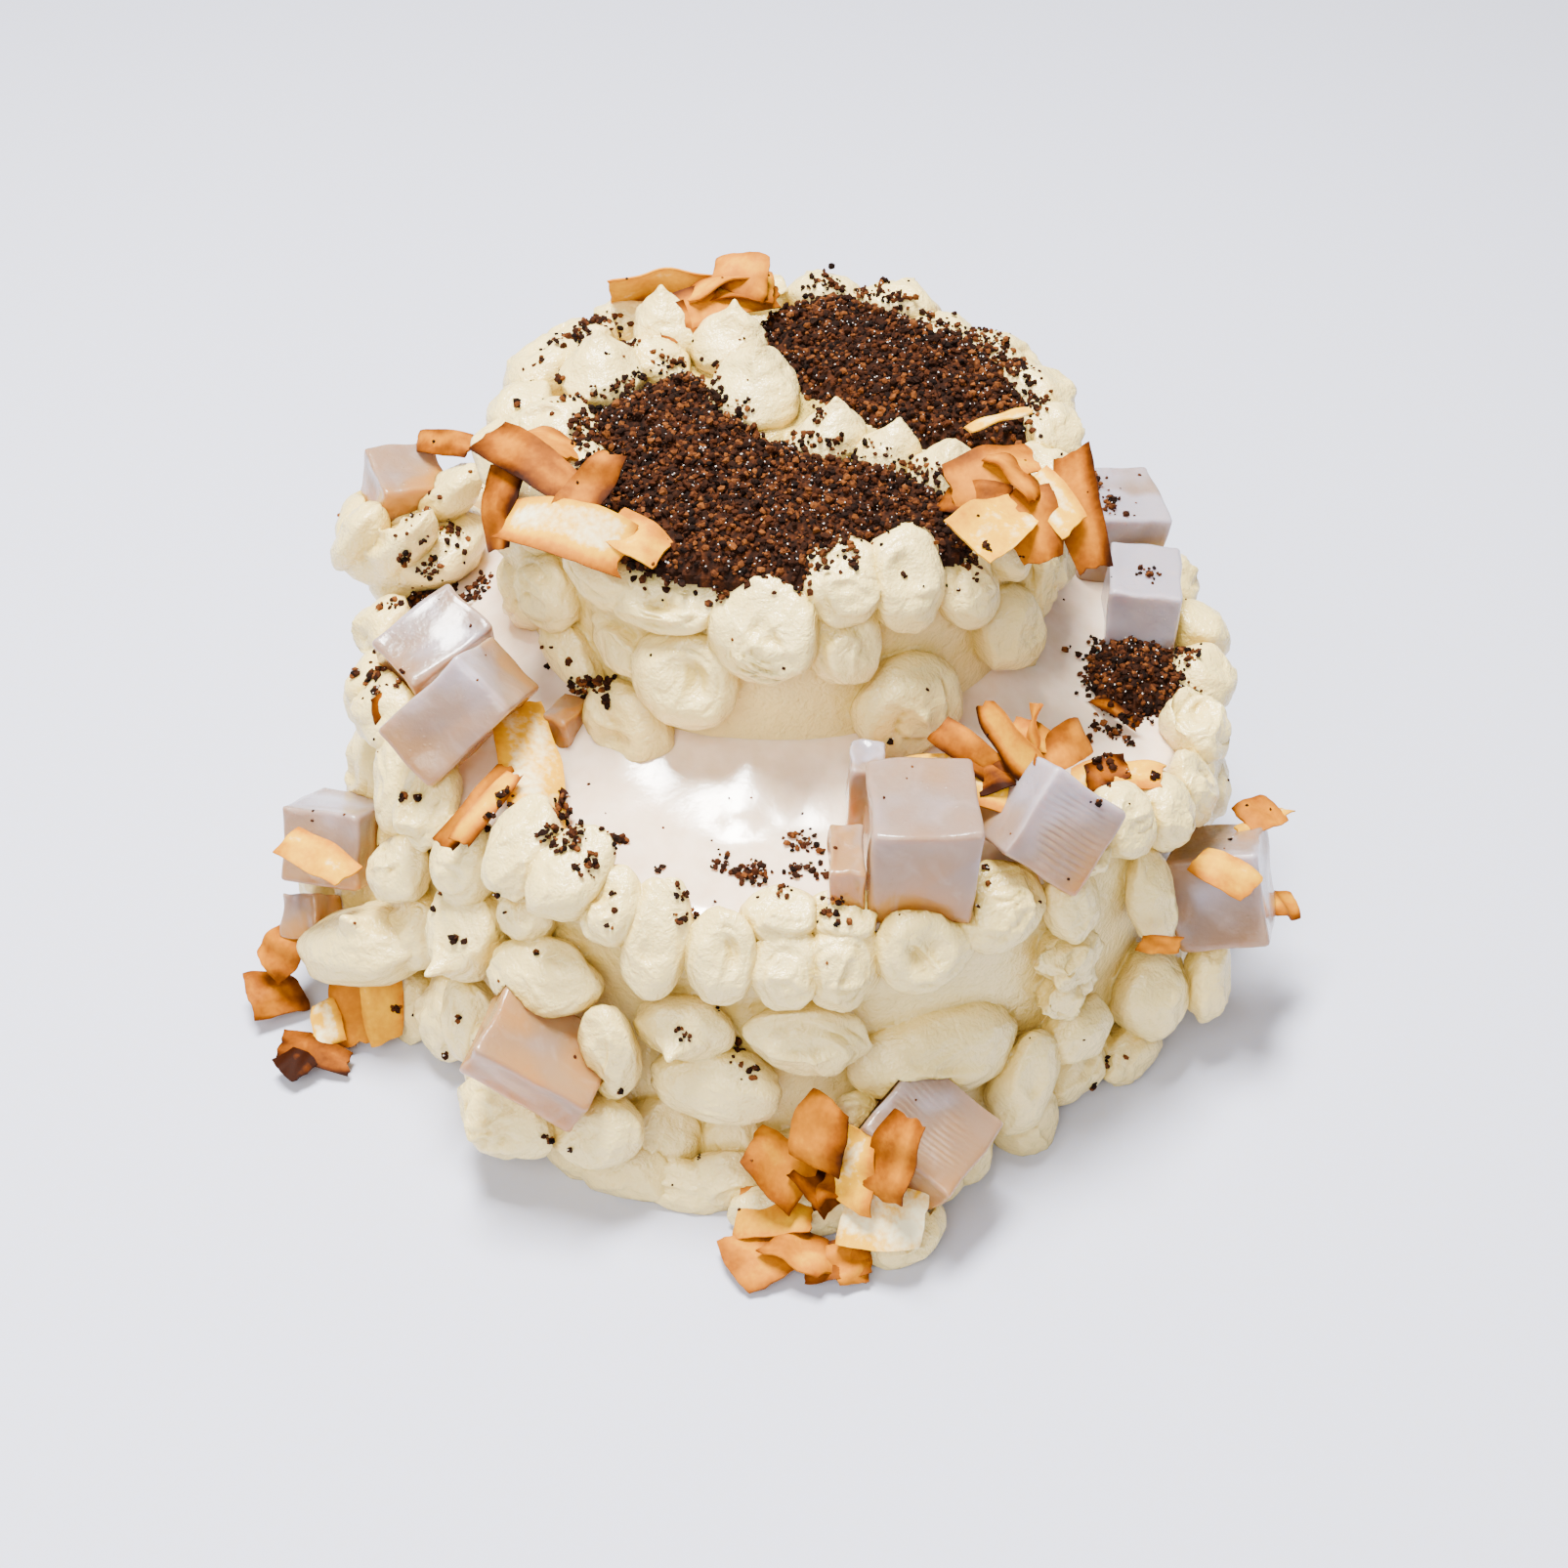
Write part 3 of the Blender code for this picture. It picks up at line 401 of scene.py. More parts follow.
# Crumbs that fell elsewhere, by the photograph's column and row: column, row, count, spread
CRUMB_SPOTS = (
    (575, 828, 40, 2.2), (585, 858, 34, 2.4), (600, 887, 26, 1.9), (560, 855, 22, 2.0),
    (625, 858, 14, 1.8), (640, 860, 6, 0.8), (735, 888, 14, 1.4), (742, 876, 6, 0.7),
    (770, 895, 60, 2.5), (820, 862, 26, 1.9), (838, 868, 8, 0.9), (815, 892, 14, 1.5),
    (840, 892, 10, 1.8), (800, 912, 10, 1.2), (855, 925, 20, 1.6), (845, 935, 6, 0.7),
    (697, 912, 14, 1.2), (697, 938, 8, 0.9), (710, 935, 5, 0.7), (675, 890, 4, 0.7),
    (730, 922, 3, 0.5), (628, 915, 3, 0.4), (625, 948, 4, 0.5), (630, 933, 1, 0.1),
    (590, 703, 30, 1.7), (618, 700, 26, 1.5), (622, 718, 10, 0.8), (600, 700, 18, 1.2),
    (556, 662, 2, 0.2), (565, 662, 2, 0.2), (582, 676, 4, 0.4), (560, 683, 3, 0.3),
    (700, 1060, 12, 1.4), (755, 1068, 26, 1.3), (770, 1098, 8, 0.9), (735, 1034, 2, 0.3),
    (465, 958, 5, 0.6), (477, 962, 3, 0.3), (445, 932, 2, 0.2), (452, 915, 2, 0.2),
    (510, 915, 3, 0.4), (516, 932, 2, 0.3), (840, 425, 14, 1.2), (650, 352, 10, 1.0),
    (630, 392, 6, 0.8), (412, 818, 8, 0.7), (428, 818, 8, 0.6), (385, 690, 40, 1.9),
    (365, 690, 10, 0.9), (345, 699, 10, 0.9), (387, 708, 8, 0.7), (410, 702, 10, 0.8),
    (500, 838, 8, 0.8), (515, 818, 20, 1.5), (430, 615, 16, 2.2), (400, 620, 12, 1.6),
    (475, 590, 46, 2.4), (440, 580, 30, 2.4), (415, 570, 12, 1.4), (435, 550, 5, 0.9),
    (660, 580, 24, 1.8), (690, 592, 22, 1.7), (740, 610, 14, 1.2), (820, 605, 12, 1.0),
    (870, 568, 14, 1.8), (875, 580, 6, 0.6), (925, 590, 4, 0.4), (998, 593, 2, 0.3),
    (990, 575, 18, 1.5), (1012, 560, 6, 0.9), (945, 600, 1, 0.1), (912, 756, 3, 0.4),
    (1125, 745, 14, 1.6), (1150, 738, 16, 1.4), (1140, 752, 16, 1.3), (1115, 757, 6, 0.7),
    (1130, 780, 14, 1.3), (1155, 760, 12, 0.9), (1180, 795, 4, 0.5), (1122, 820, 7, 0.8),
    (1160, 700, 14, 2.2), (1135, 715, 12, 1.8), (1195, 690, 8, 1.2), (1135, 805, 3, 0.5),
    (1065, 925, 3, 0.4), (1010, 888, 4, 0.4), (1010, 903, 3, 0.3), (1132, 1087, 8, 0.8),
    (1120, 1112, 6, 0.8), (1130, 1118, 5, 0.6), (1152, 1082, 2, 0.3), (635, 1115, 4, 0.5),
    (608, 1130, 1, 0.1), (560, 1165, 8, 0.6), (585, 1177, 2, 0.3), (715, 1185, 4, 0.4),
    (400, 1095, 4, 0.6), (455, 1078, 5, 0.5), (470, 1045, 5, 0.6), (405, 1030, 5, 0.8),
    (550, 975, 2, 0.3), (840, 250, 10, 0.8), (885, 270, 14, 1.4), (905, 290, 8, 1.0),
    (968, 290, 8, 0.9), (975, 315, 3, 0.4), (1030, 352, 6, 0.8), (490, 415, 8, 0.8),
    (530, 415, 5, 0.6), (580, 410, 10, 1.2), (575, 385, 10, 1.0), (1045, 570, 2, 0.3),
    (430, 1105, 2, 0.4), (760, 345, 3, 0.5), (1260, 860, 4, 0.4),
)
LOOSE_CRUMBS = 260
LOOSE_REACH = 76
BACK_CLUSTERS = 16
BACK_REACH = 54
SUGAR_GRAINS = 1300
SUGAR_SIZE = 0.26

# The photograph's camera: place in millimetres, angles in degrees, focal length in pixels
PHOTO_SIZE = 1605
PHOTO_FOCAL = 2400
SENSOR_WIDTH = 36
CAMERA_PLACE = (-5.0, -283.858, 269.828)
CAMERA_YAW = 0.9925
CAMERA_PITCH = 41.4258
CAMERA_ROLL = 2.0924

# The lamps, in metres: name, place, size, the setting that holds the power, colour
LAMPS = (
    ("key_box", (-0.10, 0.06, 0.78), (0.30, 0.20), "key", "#FFFEFA"),
    ("front_box", (-0.25, -0.62, 0.62), (0.7, 0.5), "fill", "#FFFBF4"),
)
LAMPS_AIM = (0, 0, 0.04)
SKY_COLOUR = "#E6E6EA"
SKY_STRENGTH = 0.38


def linear(hex_colour):
    """Turn an sRGB hex colour into the linear one that shaders take."""
    parts = [int(hex_colour[i:i + 2], 16) / 255 for i in (1, 3, 5)]
    rgb = [c / 12.92 if c <= 0.04045 else ((c + 0.055) / 1.055) ** 2.4 for c in parts]
    return (*rgb, 1.0)


def add(tree, kind, settings=None, inputs=None):
    """Add a shader node, set its fields, and set or plug its inputs."""
    node = tree.nodes.new(kind)
    for field, value in (settings or {}).items():
        setattr(node, field, value)
    for name, value in (inputs or {}).items():
        if isinstance(value, bpy.types.NodeSocket):
            tree.links.new(value, node.inputs[name])
        else:
            node.inputs[name].default_value = value
    return node


def start_material(name, settings):
    """A new material with its shader's own sockets set, and its node tree."""
    finish = bpy.data.materials.new(name)
    finish.use_nodes = True
    tree = finish.node_tree
    for socket, value in settings.items():
        tree.nodes["Principled BSDF"].inputs[socket].default_value = value
    return finish, tree


def swells(tree, span, detail, distortion=0.0):
    """Noise over the object, with a swell about every span millimetres."""
    where = add(tree, "ShaderNodeTexCoord").outputs["Object"]
    return add(tree, "ShaderNodeTexNoise", None, {
        "Vector": where, "Scale": 1 / (span * MM), "Detail": detail,
        "Distortion": distortion}).outputs["Fac"]


def stored(tree, name):
    """What the mesh stores at each point under a name."""
    return add(tree, "ShaderNodeAttribute", {"attribute_name": name}).outputs["Fac"]


def mix(tree, factor, first, second):
    return add(tree, "ShaderNodeMixRGB", {"blend_type": "MIX"}, {
        "Fac": factor, "Color1": first, "Color2": second}).outputs["Color"]


def span_of(tree, value, low, high, top=1.0):
    """Run from 0 to top as a value runs from low to high."""
    return add(tree, "ShaderNodeMapRange", None, {
        "Value": value, "From Min": low, "From Max": high, "To Max": top}).outputs["Result"]


def jittered(tree, value, unevenness, share):
    """A value moved up or down by a share of some noise."""
    moved = add(tree, "ShaderNodeMath", {"operation": "MULTIPLY_ADD"},
                {0: unevenness, 1: share, 2: value})
    return add(tree, "ShaderNodeMath", {"operation": "SUBTRACT"},
               {0: moved.outputs["Value"], 1: share / 2}).outputs["Value"]


def plug(tree, colour, *bumps):
    """Plug a colour into the shader, and bumps as (strength, millimetres deep, height)."""
    shader = tree.nodes["Principled BSDF"]
    tree.links.new(colour, shader.inputs["Base Color"])
    normal = {}
    for strength, depth, height in bumps:
        node = add(tree, "ShaderNodeBump", None, {
            "Strength": strength, "Distance": depth * MM, "Height": height, **normal})
        normal = {"Normal": node.outputs["Normal"]}
    if bumps:
        tree.links.new(normal["Normal"], shader.inputs["Normal"])


def ramp(tree, factor, stops):
    """A colour ramp with its own stops as (place, hex colour)."""
    node = add(tree, "ShaderNodeValToRGB", None, {"Fac": factor})
    elements = node.color_ramp.elements
    while len(elements) < len(stops):
        elements.new(0.5)
    for element, (place, colour) in zip(elements, stops):
        element.position = place
        element.color = linear(colour)
    return node.outputs["Color"]


def link_object(name, data):
    item = bpy.data.objects.new(name, data)
    bpy.context.scene.collection.objects.link(item)
    return item


def place_object(name, bm):
    """Turn a bmesh in millimetres into an object in metres, at the origin."""
    bmesh.ops.scale(bm, vec=(MM, MM, MM), verts=bm.verts)
    mesh = bpy.data.meshes.new(name)
    bm.to_mesh(mesh)
    bm.free()
    return link_object(name, mesh)


def store(piece, name, values):
    """Store a number at each point of a mesh, for its material to read."""
    piece.data.attributes.new(name, "FLOAT", "POINT").data.foreach_set("value", values)


def chance_vector(draw, low, high):
    return Vector([draw.uniform(low, high) for _ in range(3)])


def drop(tree, x, y):
    """Where something dropped at x, y lands, and the surface's normal there."""
    return tree.ray_cast(Vector((x, y, DROP_HEIGHT)), Vector((0, 0, -1)))[:2]


def lathe(profile, steps, closed=False):
    """Turn a profile of (radius, height) round the upright axis."""
    bm = bmesh.new()
    verts = [bm.verts.new((radius, 0, height)) for radius, height in profile]
    ends = verts[1:] + verts[:1] if closed else verts[1:]
    edges = [bm.edges.new(pair) for pair in zip(verts, ends)]
    bmesh.ops.spin(bm, geom=verts + edges, cent=(0, 0, 0), axis=(0, 0, 1),
                   angle=math.tau, steps=steps, use_merge=True)
    return bm


def dress(piece, finish, nodes=()):
    """Give a piece its material, let it ride on the cake, and hide the nodes it stands in for.
    """
    piece.data.materials.clear()
    piece.data.materials.append(finish)
    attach(piece, "root")
    if nodes:
        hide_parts(*nodes)


def tree_of(*items):
    """A search tree, in millimetres, over the meshes of some objects."""
    verts = []
    faces = []
    for item in items:
        start = len(verts)
        verts += [vert.co / MM for vert in item.data.vertices]
        faces += [[start + i for i in face.vertices] for face in item.data.polygons]
    return BVHTree.FromPolygons(verts, faces)


def camera_matrix():
    """The photograph's camera, in millimetres."""
    yaw, pitch, roll = (math.radians(v) for v in (CAMERA_YAW, CAMERA_PITCH, CAMERA_ROLL))
    forward = Vector((math.sin(yaw) * math.cos(pitch), math.cos(yaw) * math.cos(pitch),
                      -math.sin(pitch)))
    right = Vector((math.cos(yaw), -math.sin(yaw), 0))
    up = right.cross(forward)
    across = math.cos(roll) * right + math.sin(roll) * up
    upward = math.cos(roll) * up - math.sin(roll) * right
    turn = Matrix((across, upward, -forward)).transposed().to_4x4()
    return Matrix.Translation(CAMERA_PLACE) @ turn


def sight_line(column, row):
    """Start and direction of the line of sight through a point of the photograph."""
    half = PHOTO_SIZE / 2
    view = Vector((column - half, half - row, -PHOTO_FOCAL))
    matrix = camera_matrix()
    return matrix.translation, (matrix.to_3x3() @ view).normalized()


def around(centre, angle, reach, height):
    """A point at an angle and a reach from a tier's axis."""
    turn = math.radians(angle)
    x = centre[0] + reach * math.cos(turn)
    y = centre[1] + reach * math.sin(turn)
    return Vector((x, y, height))


def fine_outline(outline):
    """The outline with points every few millimetres past its underside, corners softened."""
    points = [Vector(outline[0])]
    for start, end in zip(outline[1:], outline[2:]):
        start, end = Vector(start), Vector(end)
        fine = end.x > 20
        count = max(1, round((end - start).length / COAT_SPACING)) if fine else 1
        points += [start.lerp(end, step / count) for step in range(count)]
    points.append(Vector(outline[-1]))
    for _ in range(4):
        inner = [(a + 2 * b + c) / 4 for a, b, c in zip(points[1:], points[2:], points[3:])]
        points[2:-1] = inner
    return points


def coat(name, centre, outline, lump, seed):
    """Turn a tier's outline round its axis, then make it wavy as a palette knife leaves it."""
    bm = lathe(fine_outline(outline), COAT_STEPS)
    bmesh.ops.remove_doubles(bm, verts=bm.verts, dist=0.01)
    low = outline[0][1]
    for vert in bm.verts:
        reach = vert.co.xy.length
        if vert.co.z > low and reach > 1:
            angle = math.atan2(vert.co.y, vert.co.x)
            wide = noise.noise(vert.co / COAT_LUMP_SPAN + Vector((seed, 0, 0)))
            knife = noise.noise(Vector((angle * reach / KNIFE_RUN, vert.co.z / KNIFE_PITCH,
                                        seed + 5)))
            push = 1 + (lump * wide + KNIFE_DEPTH * knife) / reach
            vert.co.x *= push
            vert.co.y *= push
    bmesh.ops.translate(bm, vec=(*centre, 0), verts=bm.verts)
    bmesh.ops.recalc_face_normals(bm, faces=bm.faces)
    return place_object(name, bm)


def soft_step(across, softness):
    """Runs from 0 to 1 across an edge."""
    return 1 / (1 + math.exp(-max(-30, min(30, across / softness))))


def mould_kiss(bm, mould, draw):
    """Mould a ball of radius 1 into a kiss: swirl, folds, hollow, tip, wrinkles and lumps."""
    start = draw.uniform(0, math.tau)
    crease = draw.uniform(0, math.tau)
    hollow = Vector((draw.uniform(-0.2, 0.2), draw.uniform(-0.1, 0.3)))
    tip = Vector((draw.uniform(-0.12, 0.12), draw.uniform(-0.2, 0.1)))
    lean = Vector((draw.uniform(-0.2, 0.2), draw.uniform(-0.25, 0.1)))
    shift = chance_vector(draw, 0, 90)
    folds = [(draw.uniform(0, math.tau), draw.uniform(-0.1, 0.55), draw.uniform(-0.5, 0.7),
              draw.uniform(-0.3, 0.3), mould.fold * draw.uniform(0.5, 1.3))
             for _ in range(mould.folds)]
    for vert in bm.verts:
        theta = math.acos(max(-1, min(1, vert.co.z)))
        phi = math.atan2(vert.co.y, vert.co.x)
        theta = math.pi * (theta / math.pi) ** 1.3
        ball = Vector((math.sin(theta) * math.cos(phi), math.sin(theta) * math.sin(phi),
                       math.cos(theta)))
        flat = ball.xy
        reach = flat.length
        face = max(0, ball.z) ** 0.7
        turn = ((phi - start) / math.tau) % 1
        across = reach - mould.inner - (mould.outer - mould.inner) * turn
        strength = math.sin(math.pi * turn) ** 0.6
        lift = -mould.step * strength * soft_step(across, SWIRL_SOFTNESS)
        lift -= mould.groove * strength * math.exp(-(across / SWIRL_SOFTNESS) ** 2)
        for angle, offset, curve, along, height in folds:
            run = flat.x * math.cos(angle) + flat.y * math.sin(angle)
            side = flat.y * math.cos(angle) - flat.x * math.sin(angle)
            over = run - offset - curve * side * side
            window = height * math.exp(-((side - along) / FOLD_LENGTH) ** 2)
            lift -= window * soft_step(over, FOLD_SOFTNESS)
            lift += 0.5 * window * math.exp(-((over + 0.06) / 0.07) ** 2)
        lift -= mould.hollow * math.exp(-((flat - hollow).length / HOLLOW_SPAN) ** 2)
        lift += mould.tip * math.exp(-((flat - tip).length / TIP_SPAN) ** 2)
        lift += mould.cone * (1 - reach) ** 1.2
        sector = max(0, math.cos(phi - crease)) ** 2 * min(1, 2 * reach)
        ripple = math.sin(math.tau * reach / WRINKLE_SPAN + 4 * noise.noise(ball * 3 + shift))
        lift += mould.wrinkle * ripple * sector
        lift -= SAG * ball.y + 0.12 * ball.z * ball.z
        soft = noise.noise_vector(ball * 1.3 + shift) * mould.lump
        fine = noise.noise_vector(ball * 4.2 + shift) * mould.lump * 0.3
        slide = Vector((lean.x, lean.y, 0)) * max(0, ball.z)
        vert.co = ball + soft + fine + slide + Vector((0, 0, lift * face))


def kiss(centre, place, draw):
    """One piped kiss, set on the coat."""
    angle, height, reach, width, length, turn, pitch, sort = place
    bm = bmesh.new()
    front = FRONT_ANGLES[0] < angle < FRONT_ANGLES[1] or pitch > 55
    sides, rings = KISS_FACES["front" if front else "back"]
    bmesh.ops.create_uvsphere(bm, u_segments=sides, v_segments=rings, radius=1)
    mould_kiss(bm, MOULDS[sort], draw)
    depth = KISS_DEPTH * min(width, length)
    out = Vector((math.cos(math.radians(angle)), math.sin(math.radians(angle)), 0))
    side = Vector((-out.y, out.x, 0))
    tilt = math.radians(pitch)
    facing = out * math.cos(tilt) + Vector((0, 0, math.sin(tilt)))
    axes = Matrix((side, facing.cross(side), facing)).transposed().to_4x4()
    spin = Matrix.Rotation(math.radians(turn), 4, "Z")
    size = Matrix.Diagonal((width / 2, length / 2, depth / 2, 1))
    move = Matrix.Translation(around(centre, angle, reach, height))
    bmesh.ops.transform(bm, matrix=move @ axes @ spin @ size, verts=bm.verts)
    return place_object("kiss", bm)


def row_places(row, draw):
    """Places of the kisses of one row, a little uneven in place and size."""
    first, last, count, height, reach, width, length, pitch = row
    for index in range(count):
        angle = first + (last - first) * index / (count - 1)
        grow = 1 + draw.uniform(-ROW_SIZE_JITTER, ROW_SIZE_JITTER)
        yield (angle + draw.uniform(-ROW_JITTER, ROW_JITTER),
               height + draw.uniform(-ROW_JITTER, ROW_JITTER),
               reach + draw.uniform(-ROW_JITTER, ROW_JITTER) / 2,
               width * grow, length * grow, draw.uniform(-ROW_TURN, ROW_TURN), pitch,
               draw.choice(ROW_MOULDS))


def combine(body, others, operation):
    """Join or cut a body with a collection of closed meshes, and apply it."""
    group = bpy.data.collections.new("tools")
    for item in others:
        group.objects.link(item)
    step = body.modifiers.new(operation, "BOOLEAN")
    step.operation = operation
    step.solver = "MANIFOLD"
    step.operand_type = "COLLECTION"
    step.collection = group
    view = bpy.context.evaluated_depsgraph_get()
    result = bpy.data.meshes.new_from_object(body.evaluated_get(view))
    body.modifiers.clear()
    body.data = result
    for item in others:
        bpy.data.objects.remove(item)
    bpy.data.collections.remove(group)


def box(size, matrix):
    """A closed box for cutting, of a size in millimetres."""
    bm = bmesh.new()
    bmesh.ops.create_cube(bm, size=1)
    bmesh.ops.scale(bm, vec=size, verts=bm.verts)
    bmesh.ops.transform(bm, matrix=matrix, verts=bm.verts)
    return place_object("cutter", bm)


def cube_matrix(place):
    yaw, lean, spin = (math.radians(v) for v in place[7:10])
    turn = Matrix.Rotation(yaw, 4, "Z") @ Matrix.Rotation(lean, 4, "X")
    return Matrix.Translation(place[1:4]) @ turn @ Matrix.Rotation(spin, 4, "Y")


def cube_cutters(gap):
    """A box for each jelly cube, larger than it by a gap all round."""
    return [box([size + 2 * gap for size in place[4:7]], cube_matrix(place))
            for place in JELLY_CUBES]


def shade_cream(piece, obstacles):
    """Store how hidden each point sits in a crease, which the cream's colour reads as painted
    shade.
    """
    directions = [Vector((math.cos(turn), math.sin(turn), rise)).normalized()
                  for turn, rise in CREASE_LOOKS]
    values = []
    for vert in piece.data.vertices:
        normal = vert.normal
        side = normal.orthogonal().normalized()
        other = normal.cross(side)
        start = vert.co / MM + normal * 0.12
        hidden = 0.0
        for way in directions:
            ray = side * way.x + other * way.y + normal * way.z
            far = obstacles.ray_cast(start, ray, CREASE_REACH)[3]
            if far is not None:
                hidden += 1 - far / CREASE_REACH
        values.append(hidden / len(directions))
    # Painted shade: the share of rays that neighbouring cream and jelly stop
    store(piece, "crease", values)


def cream_tier(name, centre, outline, places, low):
    """One tier: its coat and its kisses joined, and cleared round the jelly."""
    body = coat(name, centre, outline, COAT_LUMP, len(places))
    kisses = [kiss(centre, place, random.Random(SEED + i)) for i, place in enumerate(places)]
    combine(body, kisses, "UNION")
    below = box((2 * FAR, 2 * FAR, 30), Matrix.Translation((0, 0, low - 15)))
    combine(body, [*cube_cutters(JELLY_GAP), below], "DIFFERENCE")
    body.data.shade_smooth()
    return body


def whipped_cream(settings):
    """Whipped cream, piped and spread: satin and ivory, with painted shade of a deeper yellow in
    its creases.

    Fat and air scatter light far inside it, so folds stay soft, and the only grain is a
    faint one of broken bubbles.
    """
    finish, tree = start_material("whipped_cream", {
        "Roughness": 0.23, "IOR": 1.46, "Subsurface Weight": 0.2,
        "Subsurface Radius": (1.0, 0.72, 0.38), "Subsurface Scale": 1.0 * MM,
        "Specular IOR Level": 0.75,
    })
    patch = mix(tree, swells(tree, 14, 3.0), settings.colour, settings.warm)
    # Painted shade: the cream turns towards the deeper yellow crease colour where the stored
    # crease value says it lies hidden
    deep = span_of(tree, stored(tree, "crease"), 0.12, 0.54)
    drag = swells(tree, 2.6, 4.0, 1.2)
    bubbles = swells(tree, 0.5, 2.0)
    plug(tree, mix(tree, deep, patch, settings.crease), (0.8, 0.55, drag), (0.9, 0.22, bubbles))
    return finish


def glaze_ring():
    """A thin skin of glaze on the ledge, pooled between the piping, with a few beads."""
    inner, outer = GLAZE_RADII
    top = LOWER_TOP + GLAZE_THICK
    profile = [(inner, LOWER_TOP - 1), (inner, top)]
    profile += [(inner + (outer - inner) * i / GLAZE_RINGS, top)
                for i in range(1, GLAZE_RINGS)]
    profile += [(outer, LOWER_TOP - 0.4), (outer - 2, LOWER_TOP - 1.5)]
    bm = lathe(profile, GLAZE_STEPS, closed=True)
    draw = random.Random(SEED)
    beads = [Vector((draw.uniform(-26, 14), draw.uniform(-56, -33)))
             for _ in range(BEAD_COUNT)]
    for vert in bm.verts:
        if vert.co.z > LOWER_TOP:
            flat = vert.co.xy
            wall = max(0, (flat - Vector(UPPER_CENTRE)).length - UPPER_RADIUS)
            vert.co.z += GLAZE_CLIMB * max(0, 1 - wall / GLAZE_SPREAD) ** 2
            vert.co.z += GLAZE_WAVE * noise.noise(vert.co / 12) + \
                GLAZE_RIPPLE * noise.noise(vert.co / 3)
            for bead in beads:
                near = (flat - bead).length / BEAD_RADIUS
                vert.co.z += BEAD_HEIGHT * math.exp(-near ** 2)
            vert.co.z -= 0.9 * max(0, (flat.length - 55) / 6.5) ** 2
    bmesh.ops.recalc_face_normals(bm, faces=bm.faces)
    piece = place_object("ledge_glaze", bm)
    piece.data.shade_smooth()
    return piece


def milk_glaze(settings):
    """Condensed milk glaze, poured: wet gloss over a pinkish cream, nearly opaque."""
    finish, tree = start_material("milk_glaze", {
        "Roughness": 0.17, "IOR": 1.5, "Subsurface Weight": 0.6,
        "Subsurface Radius": (1.0, 0.7, 0.5), "Subsurface Scale": 1.2 * MM,
        "Coat Weight": 1.0, "Coat Roughness": 0.16,
    })
    wave = swells(tree, 3.0, 3.0)
    tint = ramp(tree, wave, ((0.35, settings.thick_hex), (0.65, settings.thin_hex)))
    plug(tree, tint, (0.3, 0.3, wave), (0.25, 0.06, swells(tree, 0.6, 1.0)))
    return finish


def jelly_cube(place, settings, cream):
    """One cube of jelly, cut with a knife: soft edges, slightly hollow faces, some ridged."""
    name, amber = place[0], place[10]
    half = Vector(place[4:7]) / 2
    edge = settings.edge / MM
    draw = random.Random(name)
    bm = fine_cube((JELLY_CUTS, JELLY_CUTS, RIDGED_CUBES.get(name, JELLY_CUTS)))
    shift = chance_vector(draw, 0, 90)
    matrix = cube_matrix(place)
    amber_and_shade = []
    slant = chance_vector(draw, -1, 1).normalized()
    split = draw.uniform(-0.3, 0.3)
    for vert in bm.verts:
        unit = vert.co.copy()
        point = Vector([u * h for u, h in zip(unit, half)])
        core = Vector([max(edge - h, min(h - edge, p)) for p, h in zip(point, half)])
        out = point - core
        if out.length > 0:
            out.normalize()
            point = core + out * edge
        shares = sorted(abs(u) for u in unit)
        middle = (1 - shares[0] ** 2) * (1 - shares[1] ** 2)
        point -= out * (JELLY_HOLLOW * middle)
        point += noise.noise_vector(unit * 1.1 + shift) * JELLY_LUMP
        if name in RIDGED_CUBES and (unit.y < -0.999 or unit.x > 0.999):
            wave = math.sin(math.tau * (unit.z * half.z) / RIDGE_PITCH)
            fade = min(1, 1.6 * middle) * (0.6 + noise.noise(unit * 2 + shift))
            point += out * (RIDGE_DEPTH * wave * max(0, fade))
        vert.co = matrix @ point
        # Painted light and shade: the jelly turns amber towards its foot and near the cream,
        # where shade falls, so its top stays lilac as if lit; swirl and cloud vary it at random
        sunk_shade = 1 - (vert.co.z - matrix.translation.z + half.length) / (2 * half.length)
        near_cream_shade = max(0, 1 - cream.find_nearest(vert.co)[3] / CREAM_SHADE_REACH)
        swirl = noise.noise(unit * 0.9 + shift) + 0.5 * noise.noise(unit * 2.2 + shift)
        cloud = math.tanh(9 * (unit.dot(slant) - split + 0.25 * noise.noise(unit * 1.7 + shift)))
        amber_and_shade.append(amber + 0.95 * (sunk_shade - 0.5) + 0.35 * near_cream_shade + 0.22 * swirl + 0.13 * cloud)
    piece = place_object("jelly_piece_" + name, bm)
    store(piece, "amber", amber_and_shade)
    piece.data.shade_smooth()
    return piece


